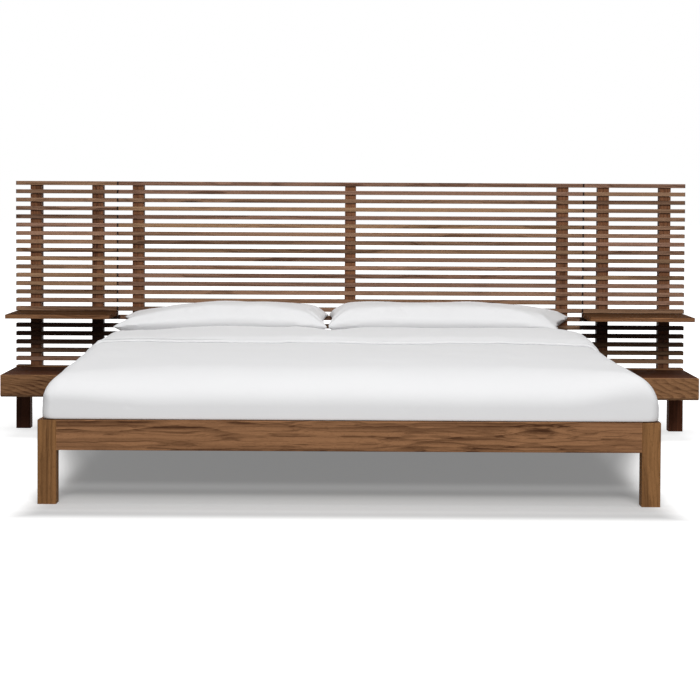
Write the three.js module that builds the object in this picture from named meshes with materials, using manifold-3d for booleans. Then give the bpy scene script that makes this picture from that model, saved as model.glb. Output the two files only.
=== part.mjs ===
// King-size platform bed in front of a slatted headboard wall with shelves and nightstands.
// Millimetres, +Z up, foot of the bed towards -Y, headboard towards +Y.
// The origin lies on the floor, in the middle of the whole object's outline.
import * as THREE from 'three';
import { mergeVertices } from 'three/addons/utils/BufferGeometryUtils.js';
import Module from 'manifold-3d';

// Bed frame
const BED_WIDTH = 2057;
const BED_LENGTH = 2145;
const BED_HEIGHT = 279;
const POST_SIDE = 62;
const RAIL_HEIGHT = 100;
const RAIL_THICKNESS = 27;
const RAIL_SETBACK = 2;
const BOARD_EASE = 1.5;
const POST_EASE = 2;

// Mattress support
const LEDGER_SIDE = 28;
const LEDGER_RISE = 2;
const DECK_SLAT_COUNT = 13;
const DECK_SLAT_WIDTH = 70;
const DECK_SLAT_THICKNESS = 18;
const DECK_SLAT_END_GAP = 3;
const DECK_MARGIN = 40;
const BEAM_WIDTH = 60;
const BEAM_HOUSING = 3;
const SUPPORT_LEG_SIDE = 45;
const SUPPORT_LEG_FROM_FOOT = 1480;

// Headboard wall
const PANEL_BED_INSET = 18;
const SIDE_PANEL_WIDTH = 440;
const PANEL_GAP = 3;
const SLAT_ROWS = 22;
const LAST_SLAT_GAP = 21.2;
const SLAT_PITCH = 36.4;
const SLAT_HEIGHT = 17.4;
const SLAT_DEPTH = 50;
const SLAT_EASE = 1;
const STILE_WIDTH = 48;
const STILE_SETBACK = 7;
const STILE_BACKING = 15;
const CENTRE_STILE_INSET = 63;
const STILE_LEG_GAP = 0.5;
const TENON_SIDE = 24;
const TENON_HEIGHT = 9;
const BOTTOM_RAIL_TOP = 275;
const BOTTOM_RAIL_HEIGHT = 92;
const BOTTOM_RAIL_THICKNESS = 22;
const LEG_SIDE = 61.5;
const PLATE_END_GAP = 5;
const PLATE_HEIGHT = 50;
const PLATE_THICKNESS = 3;
const STRAP_HEIGHT = 14;
const STRAP_ROW = 3;

// Shelves
const SHELF_ROW = 17;
const SHELF_SLOT_GAP = 2;
const SHELF_REACH = 284.5;
const SHELF_EASE = 2;
const SHELF_TONGUE_RELIEF = 0.5;
const SHELF_TONGUE_LEAD = 1;

// Nightstands
const STAND_TOP = 268.4;
const STAND_HEIGHT = 92;
const STAND_REACH = 403;
const STAND_BED_GAP = 2.5;
const CASING_THICKNESS = 18;
const FRONT_THICKNESS = 19;
const FRONT_GAP = 0.5;
const PULL_HEIGHT = 9;
const PULL_DEPTH = 12;
const DRAWER_BACK_GAP = 39;
const DRAWER_WALL = 12;
const DRAWER_SIDE_GAP = 1;
const DRAWER_TOP_GAP = 3.5;
const DRAWER_BOTTOM_THICKNESS = 6;
const DRAWER_BOTTOM_RISE = 5;
const RUNNER_WIDTH = 14;
const RUNNER_HEIGHT = 4;
const RUNNER_END_GAP = 23.5;

// Bedding
const MATTRESS_POST_GAP = 4.5;
const MATTRESS_FOOT_GAP = 56.5;
const MATTRESS_HEAD_GAP = 0.5;
const MATTRESS_HEIGHT = 196;
const MATTRESS_CORNER = 110;
const MATTRESS_ROLL = 40;
const DUVET_THICKNESS = 24;
const DUVET_PILLOW_GAP = 24;
const DUVET_OVERHANG = 17;
const DUVET_FOOT_OVERHANG = 19;
const DUVET_TUCK = 40;
const SHOULDER_LEFT = 85;
const SHOULDER_RIGHT = 105;
const SHOULDER_STEPS = 6;
const FOOT_ROUND_LENGTH = 205;
const FOOT_ROUND_HEIGHT = 100;
const FOOT_CORNER = 45;
const DUVET_LEFT_DROP = 11;
const DUVET_LEFT_RISE = 9;
const DUVET_RIGHT_DROP = 11;
const DUVET_BOW = 2.4;
const TURNBACK_LENGTH = 450;
const TURNBACK_RISE = 38;
const TURNBACK_LEFT_RISE = 14;
const TURNBACK_RIGHT_RISE = 28;
const TURNBACK_ROLL = 20;
const LIP_RISE = 27;
const LIP_BACK_RIGHT = 100;
const LIP_CURL_LEFT = 150;
const LIP_CURL_FROM = 800;
const PILLOW_LENGTH = 480;
const PILLOW_HEIGHT = 148;
const PILLOW_SEAM_HEIGHT = 66;
const PILLOW_SAG = 12;
const PILLOW_SIDE_IN = 20;
const PILLOW_CORNER_DROOP = 24;
const PILLOW_BACK_GAP = 12;
const PILLOW_SPLIT_X = -91;
const PILLOW_GAP = 2;
const PILLOW_LEFT_OVERHANG = 16;
const PILLOW_RIGHT_MARGIN = 17;
const PILLOW_ACROSS = 24;
const PILLOW_DEEP = 14;

// Crown power and softness of each half of a pillow, how far its ends are drawn in, its end's slant
const PILLOW_LEFT_FORM = { crowns: [[2, 0.8], [3, 0.45]], drawnIn: [33, 12], slant: 0 };
const PILLOW_RIGHT_FORM = { crowns: [[5, 0.25], [3, 0.6]], drawnIn: [16, 22], slant: 100 };
const PILLOW_SIDE_CROWN = [4, 0.45];
const PILLOW_UNDER_CROWNS = [[4, 1], [4, 0.7]];

// Clearances
const FIT = 0.3;
const SOFT_FIT = 0.5;

// How far a cutting block runs past the surfaces that it cuts
const CUT_PAST = 1;

// Heights and planes that several pieces share
const RAIL_BOTTOM = BED_HEIGHT - RAIL_HEIGHT;
const LEDGER_TOP = RAIL_BOTTOM + LEDGER_RISE + LEDGER_SIDE;
const DECK_TOP = LEDGER_TOP + DECK_SLAT_THICKNESS;
const MATTRESS_TOP = DECK_TOP + MATTRESS_HEIGHT;
const RAIL_INNER_X = BED_WIDTH / 2 - RAIL_SETBACK - RAIL_THICKNESS;
const FOOT_INNER_Y = RAIL_SETBACK + RAIL_THICKNESS;
const HEAD_INNER_Y = BED_LENGTH - RAIL_SETBACK - RAIL_THICKNESS;
const SLAT_BACK_Y = BED_LENGTH + SLAT_DEPTH;
const STILE_FRONT_Y = BED_LENGTH + STILE_SETBACK;
const STILE_BACK_Y = SLAT_BACK_Y + STILE_BACKING;
const BOTTOM_RAIL_BASE = BOTTOM_RAIL_TOP - BOTTOM_RAIL_HEIGHT;
const BOTTOM_RAIL_BACK_Y = BED_LENGTH + BOTTOM_RAIL_THICKNESS;
const LEG_BACK_Y = BED_LENGTH + LEG_SIDE;
const CENTRE_PANEL_WIDTH = BED_WIDTH - 2 * PANEL_BED_INSET;
const SIDE_INNER_X = CENTRE_PANEL_WIDTH / 2 + PANEL_GAP;
const SIDE_OUTER_X = SIDE_INNER_X + SIDE_PANEL_WIDTH;
const SIDE_STILE_INSET = LEG_SIDE + STILE_LEG_GAP + STILE_WIDTH / 2;
const SIDE_STILES_X = [SIDE_INNER_X + SIDE_STILE_INSET, SIDE_OUTER_X - SIDE_STILE_INSET];
const CENTRE_STILE_X = CENTRE_PANEL_WIDTH / 2 - CENTRE_STILE_INSET - STILE_WIDTH / 2;
const SHELF_THICKNESS = SLAT_PITCH - SLAT_HEIGHT - SHELF_SLOT_GAP;
const STAND_BASE = STAND_TOP - STAND_HEIGHT;
const STAND_FRONT_Y = BED_LENGTH - STAND_REACH;
const STAND_INNER_X = BED_WIDTH / 2 + STAND_BED_GAP;
const STAND_WIDTH = SIDE_OUTER_X - STAND_INNER_X;
const CASING_FRONT_Y = STAND_FRONT_Y + FRONT_THICKNESS + FRONT_GAP;
const DRAWER_LENGTH = STAND_REACH - FRONT_THICKNESS - DRAWER_BACK_GAP;
const MATTRESS_HALF = BED_WIDTH / 2 - POST_SIDE - MATTRESS_POST_GAP;
const MATTRESS_FOOT_Y = FOOT_INNER_Y + MATTRESS_FOOT_GAP;
const MATTRESS_LENGTH = HEAD_INNER_Y - MATTRESS_HEAD_GAP - MATTRESS_FOOT_Y;
const DUVET_TOP = MATTRESS_TOP + DUVET_THICKNESS;
const PILLOW_FRONT_Y = BED_LENGTH - PILLOW_BACK_GAP - PILLOW_LENGTH;
const DUVET_HEAD_Y = PILLOW_FRONT_Y - DUVET_PILLOW_GAP;
const TURNBACK_Y = DUVET_HEAD_Y - TURNBACK_LENGTH;

const wasm = await Module();
wasm.setup();

const looks = {
  walnut: { color: 0x7d5a42, roughness: 0.55, metalness: 0 },
  walnutDark: { color: 0x6b4a33, roughness: 0.6, metalness: 0 },
  birch: { color: 0xcdb38c, roughness: 0.65, metalness: 0 },
  steel: { color: 0x8c8f92, roughness: 0.35, metalness: 0.9 },
  sheet: { color: 0xececec, roughness: 0.9, metalness: 0 },
  duvet: { color: 0xe7e7e8, roughness: 0.92, metalness: 0 },
  pillow: { color: 0xebebec, roughness: 0.9, metalness: 0 },
};

const X_AXIS = new THREE.Vector3(1, 0, 0);
const Y_AXIS = new THREE.Vector3(0, 1, 0);
const Z_AXIS = new THREE.Vector3(0, 0, 1);

// Turns a geometry drawn along Z so that it runs along the named axis.
function layAlong(geometry, axis) {
  const turn = new THREE.Matrix4();
  if (axis === 'x') {
    turn.makeBasis(Y_AXIS, Z_AXIS, X_AXIS);
  } else if (axis === 'y') {
    turn.makeBasis(Z_AXIS, X_AXIS, Y_AXIS);
  }
  return geometry.applyMatrix4(turn);
}

// Outline of a board's section with its four corners eased off.
function easedSection(width, height, ease) {
  const shape = new THREE.Shape();
  shape.moveTo(ease, 0);
  shape.lineTo(width - ease, 0);
  shape.lineTo(width, ease);
  shape.lineTo(width, height - ease);
  shape.lineTo(width - ease, height);
  shape.lineTo(ease, height);
  shape.lineTo(0, height - ease);
  shape.lineTo(0, ease);
  return shape;
}

// A solid board with one corner at the origin and its four long edges eased.
function board(axis, sizeX, sizeY, sizeZ, ease = BOARD_EASE) {
  const section = {
    x: [sizeY, sizeZ, sizeX],
    y: [sizeZ, sizeX, sizeY],
    z: [sizeX, sizeY, sizeZ],
  }[axis];
  const shape = easedSection(section[0], section[1], ease);
  const geometry = new THREE.ExtrudeGeometry(shape, { depth: section[2], bevelEnabled: false });
  return layAlong(geometry, axis);
}

function block(sizeX, sizeY, sizeZ) {
  return new THREE.BoxGeometry(sizeX, sizeY, sizeZ).translate(sizeX / 2, sizeY / 2, sizeZ / 2);
}

// Block given by its two opposite corners.
function blockBetween(low, high) {
  const geometry = block(high[0] - low[0], high[1] - low[1], high[2] - low[2]);
  return geometry.translate(low[0], low[1], low[2]);
}

function toSolid(geometry) {
  const bare = geometry.clone();
  bare.deleteAttribute('normal');
  bare.deleteAttribute('uv');
  const merged = mergeVertices(bare, 1e-4);
  return new wasm.Manifold(new wasm.Mesh({
    numProp: 3,
    vertProperties: Float32Array.from(merged.attributes.position.array),
    triVerts: Uint32Array.from(merged.index.array),
  }));
}

function toGeometry(solid) {
  const mesh = solid.getMesh();
  const geometry = new THREE.BufferGeometry();
  geometry.setAttribute('position', new THREE.BufferAttribute(mesh.vertProperties, 3));
  geometry.setIndex(new THREE.BufferAttribute(mesh.triVerts, 1));
  geometry.computeVertexNormals();
  return geometry;
}

function join(geometries) {
  return geometries.map(toSolid).reduce((sum, next) => sum.add(next));
}

function cut(solid, geometries) {
  return geometries.map(toSolid).reduce((left, tool) => left.subtract(tool), solid);
}

function piece(name, geometry, look, x = 0, y = 0, z = 0) {
  const mesh = new THREE.Mesh(geometry, new THREE.MeshStandardMaterial(looks[look]));
  mesh.name = name;
  mesh.position.set(x, y, z);
  return mesh;
}

// Mirrors a left-edge X so that a piece of the given width sits on the other side.
function sideX(side, inner, width) {
  return side > 0 ? inner : -inner - width;
}

const SIDES = [
  { side: -1, tag: 'left' },
  { side: 1, tag: 'right' },
];

// Platform bed.

function bedPosts() {
  const ends = [
    { tag: 'front', y: 0 },
    { tag: 'back', y: BED_LENGTH - POST_SIDE },
  ];
  const inner = BED_WIDTH / 2 - POST_SIDE;
  return SIDES.flatMap(({ side, tag }) => ends.map((end) => piece(
    `post_${end.tag}_${tag}`,
    board('z', POST_SIDE, POST_SIDE, BED_HEIGHT, POST_EASE),
    'walnut',
    sideX(side, inner, POST_SIDE),
    end.y,
  )));
}

function bedRails() {
  const across = BED_WIDTH - 2 * POST_SIDE;
  const along = BED_LENGTH - 2 * POST_SIDE;
  const cross = [
    { name: 'rail_foot', y: RAIL_SETBACK },
    { name: 'rail_head', y: HEAD_INNER_Y },
  ].map(({ name, y }) => piece(
    name,
    board('x', across, RAIL_THICKNESS, RAIL_HEIGHT),
    'walnut',
    -across / 2,
    y,
    RAIL_BOTTOM,
  ));
  const sides = SIDES.map(({ side, tag }) => piece(
    `rail_${tag}`,
    board('y', RAIL_THICKNESS, along, RAIL_HEIGHT),
    'walnut',
    sideX(side, RAIL_INNER_X, RAIL_THICKNESS),
    POST_SIDE,
    RAIL_BOTTOM,
  ));
  return [...cross, ...sides];
}

function ledgers() {
  const along = BED_LENGTH - 2 * POST_SIDE;
  return SIDES.map(({ side, tag }) => piece(
    `ledger_${tag}`,
    board('y', LEDGER_SIDE, along, LEDGER_SIDE),
    'birch',
    sideX(side, RAIL_INNER_X - LEDGER_SIDE, LEDGER_SIDE),
    POST_SIDE,
    LEDGER_TOP - LEDGER_SIDE,
  ));
}

// The mattress slats are let into the centre beam, which stays hidden behind the foot rail.
function slatDeck() {
  const reach = 2 * (RAIL_INNER_X - DECK_SLAT_END_GAP);
  const first = POST_SIDE + DECK_MARGIN;
  const last = BED_LENGTH - POST_SIDE - DECK_MARGIN - DECK_SLAT_WIDTH;
  const step = (last - first) / (DECK_SLAT_COUNT - 1);
  const parts = [blockBetween(
    [-BEAM_WIDTH / 2, FOOT_INNER_Y, RAIL_BOTTOM],
    [BEAM_WIDTH / 2, HEAD_INNER_Y, LEDGER_TOP + BEAM_HOUSING],
  )];
  for (let i = 0; i < DECK_SLAT_COUNT; i += 1) {
    const slat = board('x', reach, DECK_SLAT_WIDTH, DECK_SLAT_THICKNESS);
    parts.push(slat.translate(-reach / 2, first + i * step, LEDGER_TOP));
  }
  return piece('slat_deck', toGeometry(join(parts)), 'birch');
}

function supportLeg() {
  return piece(
    'support_leg',
    board('z', SUPPORT_LEG_SIDE, SUPPORT_LEG_SIDE, RAIL_BOTTOM, POST_EASE),
    'birch',
    -SUPPORT_LEG_SIDE / 2,
    SUPPORT_LEG_FROM_FOOT,
  );
}

// Headboard wall.

// Underside of a slat row, counted from 1 at the top.
function rowBase(row) {
  return BOTTOM_RAIL_TOP + LAST_SLAT_GAP + (SLAT_ROWS - row) * SLAT_PITCH;
}

function slatRows(lowX, highX) {
  const slats = [];
  for (let row = 1; row <= SLAT_ROWS; row += 1) {
    const slat = board('x', highX - lowX, SLAT_DEPTH, SLAT_HEIGHT, SLAT_EASE);
    slats.push(slat.translate(lowX, BED_LENGTH, rowBase(row)));
  }
  return slats;
}

// A stile stands behind the slat fronts, under the top slat, lapped over the bottom rail.
function plainStile(centreX) {
  const body = blockBetween(
    [centreX - STILE_WIDTH / 2, STILE_FRONT_Y, BOTTOM_RAIL_BASE],
    [centreX + STILE_WIDTH / 2, STILE_BACK_Y, rowBase(1)],
  );
  const lap = blockBetween(
    [centreX - STILE_WIDTH, BED_LENGTH - CUT_PAST, BOTTOM_RAIL_BASE - CUT_PAST],
    [centreX + STILE_WIDTH, BOTTOM_RAIL_BACK_Y + FIT, BOTTOM_RAIL_TOP + FIT],
  );
  return cut(toSolid(body), [lap]);
}

// Every slat below the top one sits in a housing cut into the stile from the front.
function housedStile(name, centreX) {
  const housings = [];
  for (let row = 2; row <= SLAT_ROWS; row += 1) {
    housings.push(blockBetween(
      [centreX - STILE_WIDTH, BED_LENGTH - CUT_PAST, rowBase(row) - FIT],
      [centreX + STILE_WIDTH, SLAT_BACK_Y + FIT, rowBase(row) + SLAT_HEIGHT + FIT],
    ));
  }
  return piece(name, toGeometry(cut(plainStile(centreX), housings)), 'walnutDark');
}

// The slats of a panel and the one stile that they are glued to.
function slatPanel(name, lowX, highX, stileX) {
  const tenon = blockBetween(
    [stileX - TENON_SIDE / 2, STILE_FRONT_Y + TENON_SIDE / 2, rowBase(1) - TENON_HEIGHT],
    [stileX + TENON_SIDE / 2, STILE_FRONT_Y + TENON_SIDE * 1.5, rowBase(1) + TENON_HEIGHT],
  );
  const slats = join(slatRows(lowX, highX));
  const panel = slats.add(plainStile(stileX)).add(toSolid(tenon));
  return piece(name, toGeometry(panel), 'walnut');
}

function bottomRail(name, lowX, highX) {
  return piece(
    name,
    board('x', highX - lowX, BOTTOM_RAIL_THICKNESS, BOTTOM_RAIL_HEIGHT),
    'walnut',
    lowX,
    BED_LENGTH,
    BOTTOM_RAIL_BASE,
  );
}

function centrePanel() {
  const half = CENTRE_PANEL_WIDTH / 2;
  return [
    slatPanel('slat_panel_centre', -half, half, 0),
    housedStile('stile_centre_left', -CENTRE_STILE_X),
    housedStile('stile_centre_right', CENTRE_STILE_X),
    bottomRail('bottom_rail_centre', -half, half),
    ...SIDES.map(({ side, tag }) => piece(
      `panel_leg_inner_${tag}`,
      board('z', LEG_SIDE, LEG_SIDE, BOTTOM_RAIL_BASE, POST_EASE),
      'walnutDark',
      side * CENTRE_STILE_X - LEG_SIDE / 2,
      BED_LENGTH,
    )),
  ];
}

// The outer leg stands under the end of the rail and runs up behind it.
function outerLeg(side, tag) {
  const lowX = sideX(side, SIDE_OUTER_X - LEG_SIDE, LEG_SIDE);
  const post = board('z', LEG_SIDE, LEG_SIDE, BOTTOM_RAIL_TOP, POST_EASE);
  const lap = blockBetween(
    [lowX - CUT_PAST, BED_LENGTH - CUT_PAST, BOTTOM_RAIL_BASE - FIT],
    [lowX + LEG_SIDE + CUT_PAST, BOTTOM_RAIL_BACK_Y + FIT, BOTTOM_RAIL_TOP + CUT_PAST],
  );
  const leg = cut(toSolid(post.translate(lowX, BED_LENGTH, 0)), [lap]);
  return piece(`panel_leg_outer_${tag}`, toGeometry(leg), 'walnutDark');
}

function sidePanel(side, tag) {
  const lowX = sideX(side, SIDE_INNER_X, SIDE_PANEL_WIDTH);
  const highX = lowX + SIDE_PANEL_WIDTH;
  const [innerX, outerX] = SIDE_STILES_X;
  return [
    slatPanel(`slat_panel_${tag}`, lowX, highX, side * innerX),
    housedStile(`stile_outer_${tag}`, side * outerX),
    bottomRail(`bottom_rail_${tag}`, lowX, highX),
    outerLeg(side, tag),
  ];
}

// Flat steel plates hold neighbouring panels together behind the wood.
function joiningPlates(side, tag) {
  const nearX = CENTRE_STILE_X + STILE_WIDTH / 2 + PLATE_END_GAP;
  const length = SIDE_STILES_X[0] - STILE_WIDTH / 2 - PLATE_END_GAP - nearX;
  const lowX = sideX(side, nearX, length);
  const plateZ = BOTTOM_RAIL_BASE + (BOTTOM_RAIL_HEIGHT - PLATE_HEIGHT) / 2;
  const strapZ = rowBase(STRAP_ROW) + (SLAT_HEIGHT - STRAP_HEIGHT) / 2;
  const plate = block(length, PLATE_THICKNESS, PLATE_HEIGHT);
  const strap = block(length, PLATE_THICKNESS, STRAP_HEIGHT);
  return [
    piece(`joining_plate_${tag}`, plate, 'steel', lowX, BOTTOM_RAIL_BACK_Y, plateZ),
    piece(`joining_strap_${tag}`, strap, 'steel', lowX, SLAT_BACK_Y, strapZ),
  ];
}

// The shelf's tongue, a little thinner, slides in between two slat rows and is notched round the stiles.
function shelf(side, tag) {
  const lowX = sideX(side, SIDE_INNER_X, SIDE_PANEL_WIDTH);
  const highX = lowX + SIDE_PANEL_WIDTH;
  const frontY = BED_LENGTH - SHELF_REACH;
  const base = rowBase(SHELF_ROW) + SLAT_HEIGHT;
  const top = base + SHELF_THICKNESS;
  const plate = board('x', SIDE_PANEL_WIDTH, SLAT_BACK_Y - frontY, SHELF_THICKNESS, SHELF_EASE);
  const relief = blockBetween(
    [lowX - CUT_PAST, BED_LENGTH - SHELF_TONGUE_LEAD, top - SHELF_TONGUE_RELIEF],
    [highX + CUT_PAST, SLAT_BACK_Y + CUT_PAST, top + CUT_PAST],
  );
  const notches = SIDE_STILES_X.map((stileX) => blockBetween(
    [side * stileX - STILE_WIDTH / 2 - FIT, STILE_FRONT_Y - FIT, base - CUT_PAST],
    [side * stileX + STILE_WIDTH / 2 + FIT, STILE_BACK_Y, top + CUT_PAST],
  ));
  const notched = cut(toSolid(plate.translate(lowX, frontY, base)), [relief, ...notches]);
  return piece(`shelf_${tag}`, toGeometry(notched), 'walnut');
}

// Nightstands.

function casing(side, tag) {
  const lowX = sideX(side, STAND_INNER_X, STAND_WIDTH);
  const depth = BED_LENGTH - CASING_FRONT_Y;
  const sideHeight = STAND_HEIGHT - 2 * CASING_THICKNESS;
  const top = board('x', STAND_WIDTH, depth, CASING_THICKNESS);
  const bottom = board('x', STAND_WIDTH, depth, CASING_THICKNESS);
  const sideZ = STAND_BASE + CASING_THICKNESS;
  const walls = [
    { wall: 'inner', x: sideX(side, STAND_INNER_X, CASING_THICKNESS) },
    { wall: 'outer', x: sideX(side, SIDE_OUTER_X - CASING_THICKNESS, CASING_THICKNESS) },
  ];
  const topZ = STAND_TOP - CASING_THICKNESS;
  return [
    piece(`casing_top_${tag}`, top, 'walnut', lowX, CASING_FRONT_Y, topZ),
    piece(`casing_bottom_${tag}`, bottom, 'walnut', lowX, CASING_FRONT_Y, STAND_BASE),
    ...walls.map(({ wall, x }) => piece(
      `casing_${wall}_${tag}`,
      board('y', CASING_THICKNESS, depth, sideHeight),
      'walnut',
      x,
      CASING_FRONT_Y,
      sideZ,
    )),
  ];
}

function runners(side, tag) {
  const length = BED_LENGTH - CASING_FRONT_Y - RUNNER_END_GAP;
  const edges = [
    { wall: 'inner', x: STAND_INNER_X + CASING_THICKNESS },
    { wall: 'outer', x: SIDE_OUTER_X - CASING_THICKNESS - RUNNER_WIDTH },
  ];
  return edges.map(({ wall, x }) => piece(
    `runner_${wall}_${tag}`,
    board('y', RUNNER_WIDTH, length, RUNNER_HEIGHT, 0.5),
    'birch',
    sideX(side, x, RUNNER_WIDTH),
    CASING_FRONT_Y,
    STAND_BASE + CASING_THICKNESS,
  ));
}

// Section of the drawer front, undercut along its lower edge for the fingers.
function drawerFrontSection() {
  const shape = new THREE.Shape();
  shape.moveTo(PULL_DEPTH, 0);
  shape.lineTo(FRONT_THICKNESS, 0);
  shape.lineTo(FRONT_THICKNESS, STAND_HEIGHT);
  shape.lineTo(BOARD_EASE, STAND_HEIGHT);
  shape.lineTo(0, STAND_HEIGHT - BOARD_EASE);
  shape.lineTo(0, PULL_HEIGHT);
  return shape;
}

function drawer(side, tag) {
  const lowX = sideX(side, STAND_INNER_X, STAND_WIDTH);
  const boxX = lowX + CASING_THICKNESS + DRAWER_SIDE_GAP;
  const boxWidth = STAND_WIDTH - 2 * (CASING_THICKNESS + DRAWER_SIDE_GAP);
  const boxY = STAND_FRONT_Y + FRONT_THICKNESS;
  const boxZ = STAND_BASE + CASING_THICKNESS + RUNNER_HEIGHT + FIT;
  const boxHeight = STAND_TOP - CASING_THICKNESS - DRAWER_TOP_GAP - boxZ;
  const inWidth = boxWidth - 2 * DRAWER_WALL;
  const inLength = DRAWER_LENGTH - DRAWER_WALL;
  const inX = boxX + DRAWER_WALL;
  const front = layAlong(new THREE.ExtrudeGeometry(
    drawerFrontSection(),
    { depth: STAND_WIDTH, bevelEnabled: false },
  ), 'x');
  const wall = () => board('y', DRAWER_WALL, DRAWER_LENGTH, boxHeight, 1);
  const back = board('x', inWidth, DRAWER_WALL, boxHeight, 1);
  const bottom = block(inWidth, inLength, DRAWER_BOTTOM_THICKNESS);
  const bottomZ = boxZ + DRAWER_BOTTOM_RISE;
  return [
    piece(`drawer_front_${tag}`, front, 'walnut', lowX, STAND_FRONT_Y, STAND_BASE),
    piece(`drawer_wall_a_${tag}`, wall(), 'birch', boxX, boxY, boxZ),
    piece(`drawer_wall_b_${tag}`, wall(), 'birch', inX + inWidth, boxY, boxZ),
    piece(`drawer_back_${tag}`, back, 'birch', inX, boxY + inLength, boxZ),
    piece(`drawer_bottom_${tag}`, bottom, 'birch', inX, boxY, bottomZ),
  ];
}

// Bedding.

function roundedRectangle(width, length, radius) {
  const shape = new THREE.Shape();
  const x = width / 2;
  const y = length / 2;
  shape.moveTo(-x + radius, -y);
  shape.lineTo(x - radius, -y);
  shape.absarc(x - radius, -y + radius, radius, -Math.PI / 2, 0);
  shape.lineTo(x, y - radius);
  shape.absarc(x - radius, y - radius, radius, 0, Math.PI / 2);
  shape.lineTo(-x + radius, y);
  shape.absarc(-x + radius, y - radius, radius, Math.PI / 2, Math.PI);
  shape.lineTo(-x, -y + radius);
  shape.absarc(-x + radius, -y + radius, radius, Math.PI, Math.PI * 1.5);
  return shape;
}

// A mattress-shaped solid, grown all round by the given amount.
function mattressBody(grow) {
  const width = 2 * (MATTRESS_HALF + grow);
  const length = MATTRESS_LENGTH + 2 * grow;
  const shape = roundedRectangle(width, length, MATTRESS_CORNER);
  const geometry = new THREE.ExtrudeGeometry(shape, {
    depth: MATTRESS_HEIGHT + 2 * grow - 2 * MATTRESS_ROLL,
    bevelEnabled: true,
    bevelThickness: MATTRESS_ROLL,
    bevelSize: MATTRESS_ROLL,
    bevelOffset: -MATTRESS_ROLL,
    bevelSegments: 4,
    curveSegments: 6,
  });
  const middleY = MATTRESS_FOOT_Y + MATTRESS_LENGTH / 2;
  return geometry.translate(0, middleY, DECK_TOP - grow + MATTRESS_ROLL);
}

function mattress() {
  return piece('mattress', mattressBody(0), 'sheet');
}

function smooth(value) {
  const t = Math.min(1, Math.max(0, value));
  return t * t * (3 - 2 * t);
}

// Closed skin over rings of equal length, with a fan over each end.
function skin(rings) {
  const count = rings[0].length;
  const points = rings.flat();
  const faces = [];
  for (let i = 0; i < rings.length - 1; i += 1) {
    for (let j = 0; j < count; j += 1) {
      const a = i * count + j;
      const b = i * count + ((j + 1) % count);
      faces.push(a, b + count, b, a, a + count, b + count);
    }
  }
  const ends = [rings[0], rings[rings.length - 1]];
  ends.forEach((ring, which) => {
    const centre = points.length;
    const offset = which === 0 ? 0 : (rings.length - 1) * count;
    const sum = ring.reduce((acc, p) => [acc[0] + p[0], acc[1] + p[1], acc[2] + p[2]], [0, 0, 0]);
    points.push(sum.map((value) => value / count));
    for (let j = 0; j < count; j += 1) {
      const a = offset + j;
      const b = offset + ((j + 1) % count);
      faces.push(...(which === 0 ? [centre, a, b] : [centre, b, a]));
    }
  });
  const geometry = new THREE.BufferGeometry();
  geometry.setAttribute('position', new THREE.Float32BufferAttribute(points.flat(), 3));
  geometry.setIndex(faces);
  return geometry;
}

// Side of the duvet's cross-section: from its underside up the wall and round the shoulder.
function duvetSide(side, half, base, edge) {
  const radius = Math.min(side < 0 ? SHOULDER_LEFT : SHOULDER_RIGHT, (edge - base) / 2);
  const points = [[half - DUVET_OVERHANG, base], [half, BED_HEIGHT]];
  for (let i = 0; i <= SHOULDER_STEPS; i += 1) {
    const turn = (Math.PI / 2) * (i / SHOULDER_STEPS);
    points.push([half - radius * (1 - Math.cos(turn)), edge - radius * (1 - Math.sin(turn))]);
  }
  return points.map(([x, z]) => [side * x, z]);
}

// One cross-section of the duvet. Its edges are the heights of the shoulders, left and right.
function duvetRing(y, half, top, edges, bend) {
  const base = BED_HEIGHT - DUVET_TUCK;
  const right = duvetSide(1, half, base, edges[1]);
  const left = duvetSide(-1, half, base, edges[0]);
  const middle = [];
  for (let i = 1; i < 2 * SHOULDER_STEPS; i += 1) {
    const across = 1 - i / SHOULDER_STEPS;
    const [end, edge] = across > 0 ? [right.at(-1)[0], edges[1]] : [-left.at(-1)[0], edges[0]];
    middle.push([across * end, top + (edge - top) * Math.abs(across) ** DUVET_BOW]);
  }
  return [...right, ...middle, ...left.reverse()].map(([x, z]) => [x, y + bend * lipShift(x), z]);
}

// The turned-back part's front edge lies further back on the right and curls forward on the left.
function lipShift(x) {
  const curl = smooth((-x - LIP_CURL_FROM) / (RAIL_INNER_X - LIP_CURL_FROM));
  return LIP_BACK_RIGHT * smooth(x / RAIL_INNER_X) - LIP_CURL_LEFT * curl;
}

// Heights of the duvet's shoulders at a place along the bed, left and right.
function shoulderHeights(y, top) {
  const climb = smooth(y / TURNBACK_Y) * (DUVET_LEFT_DROP + DUVET_LEFT_RISE);
  return [top - DUVET_LEFT_DROP + climb, top - DUVET_RIGHT_DROP];
}

// Rings over the rounded foot end, whose corners are rounded in plan too.
function footRings(footY, half) {
  const rings = [];
  for (let i = 0; i <= SHOULDER_STEPS; i += 1) {
    const turn = (Math.PI / 2) * (1 - i / SHOULDER_STEPS);
    const inwards = FOOT_ROUND_LENGTH * (1 - Math.sin(turn));
    const top = DUVET_TOP - FOOT_ROUND_HEIGHT * (1 - Math.cos(turn));
    const short = Math.max(0, FOOT_CORNER - inwards);
    const inset = FOOT_CORNER - Math.sqrt(FOOT_CORNER ** 2 - short ** 2);
    const y = footY + inwards;
    rings.push(duvetRing(y, half - inset, top, shoulderHeights(y, top), 0));
  }
  return rings;
}

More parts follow.
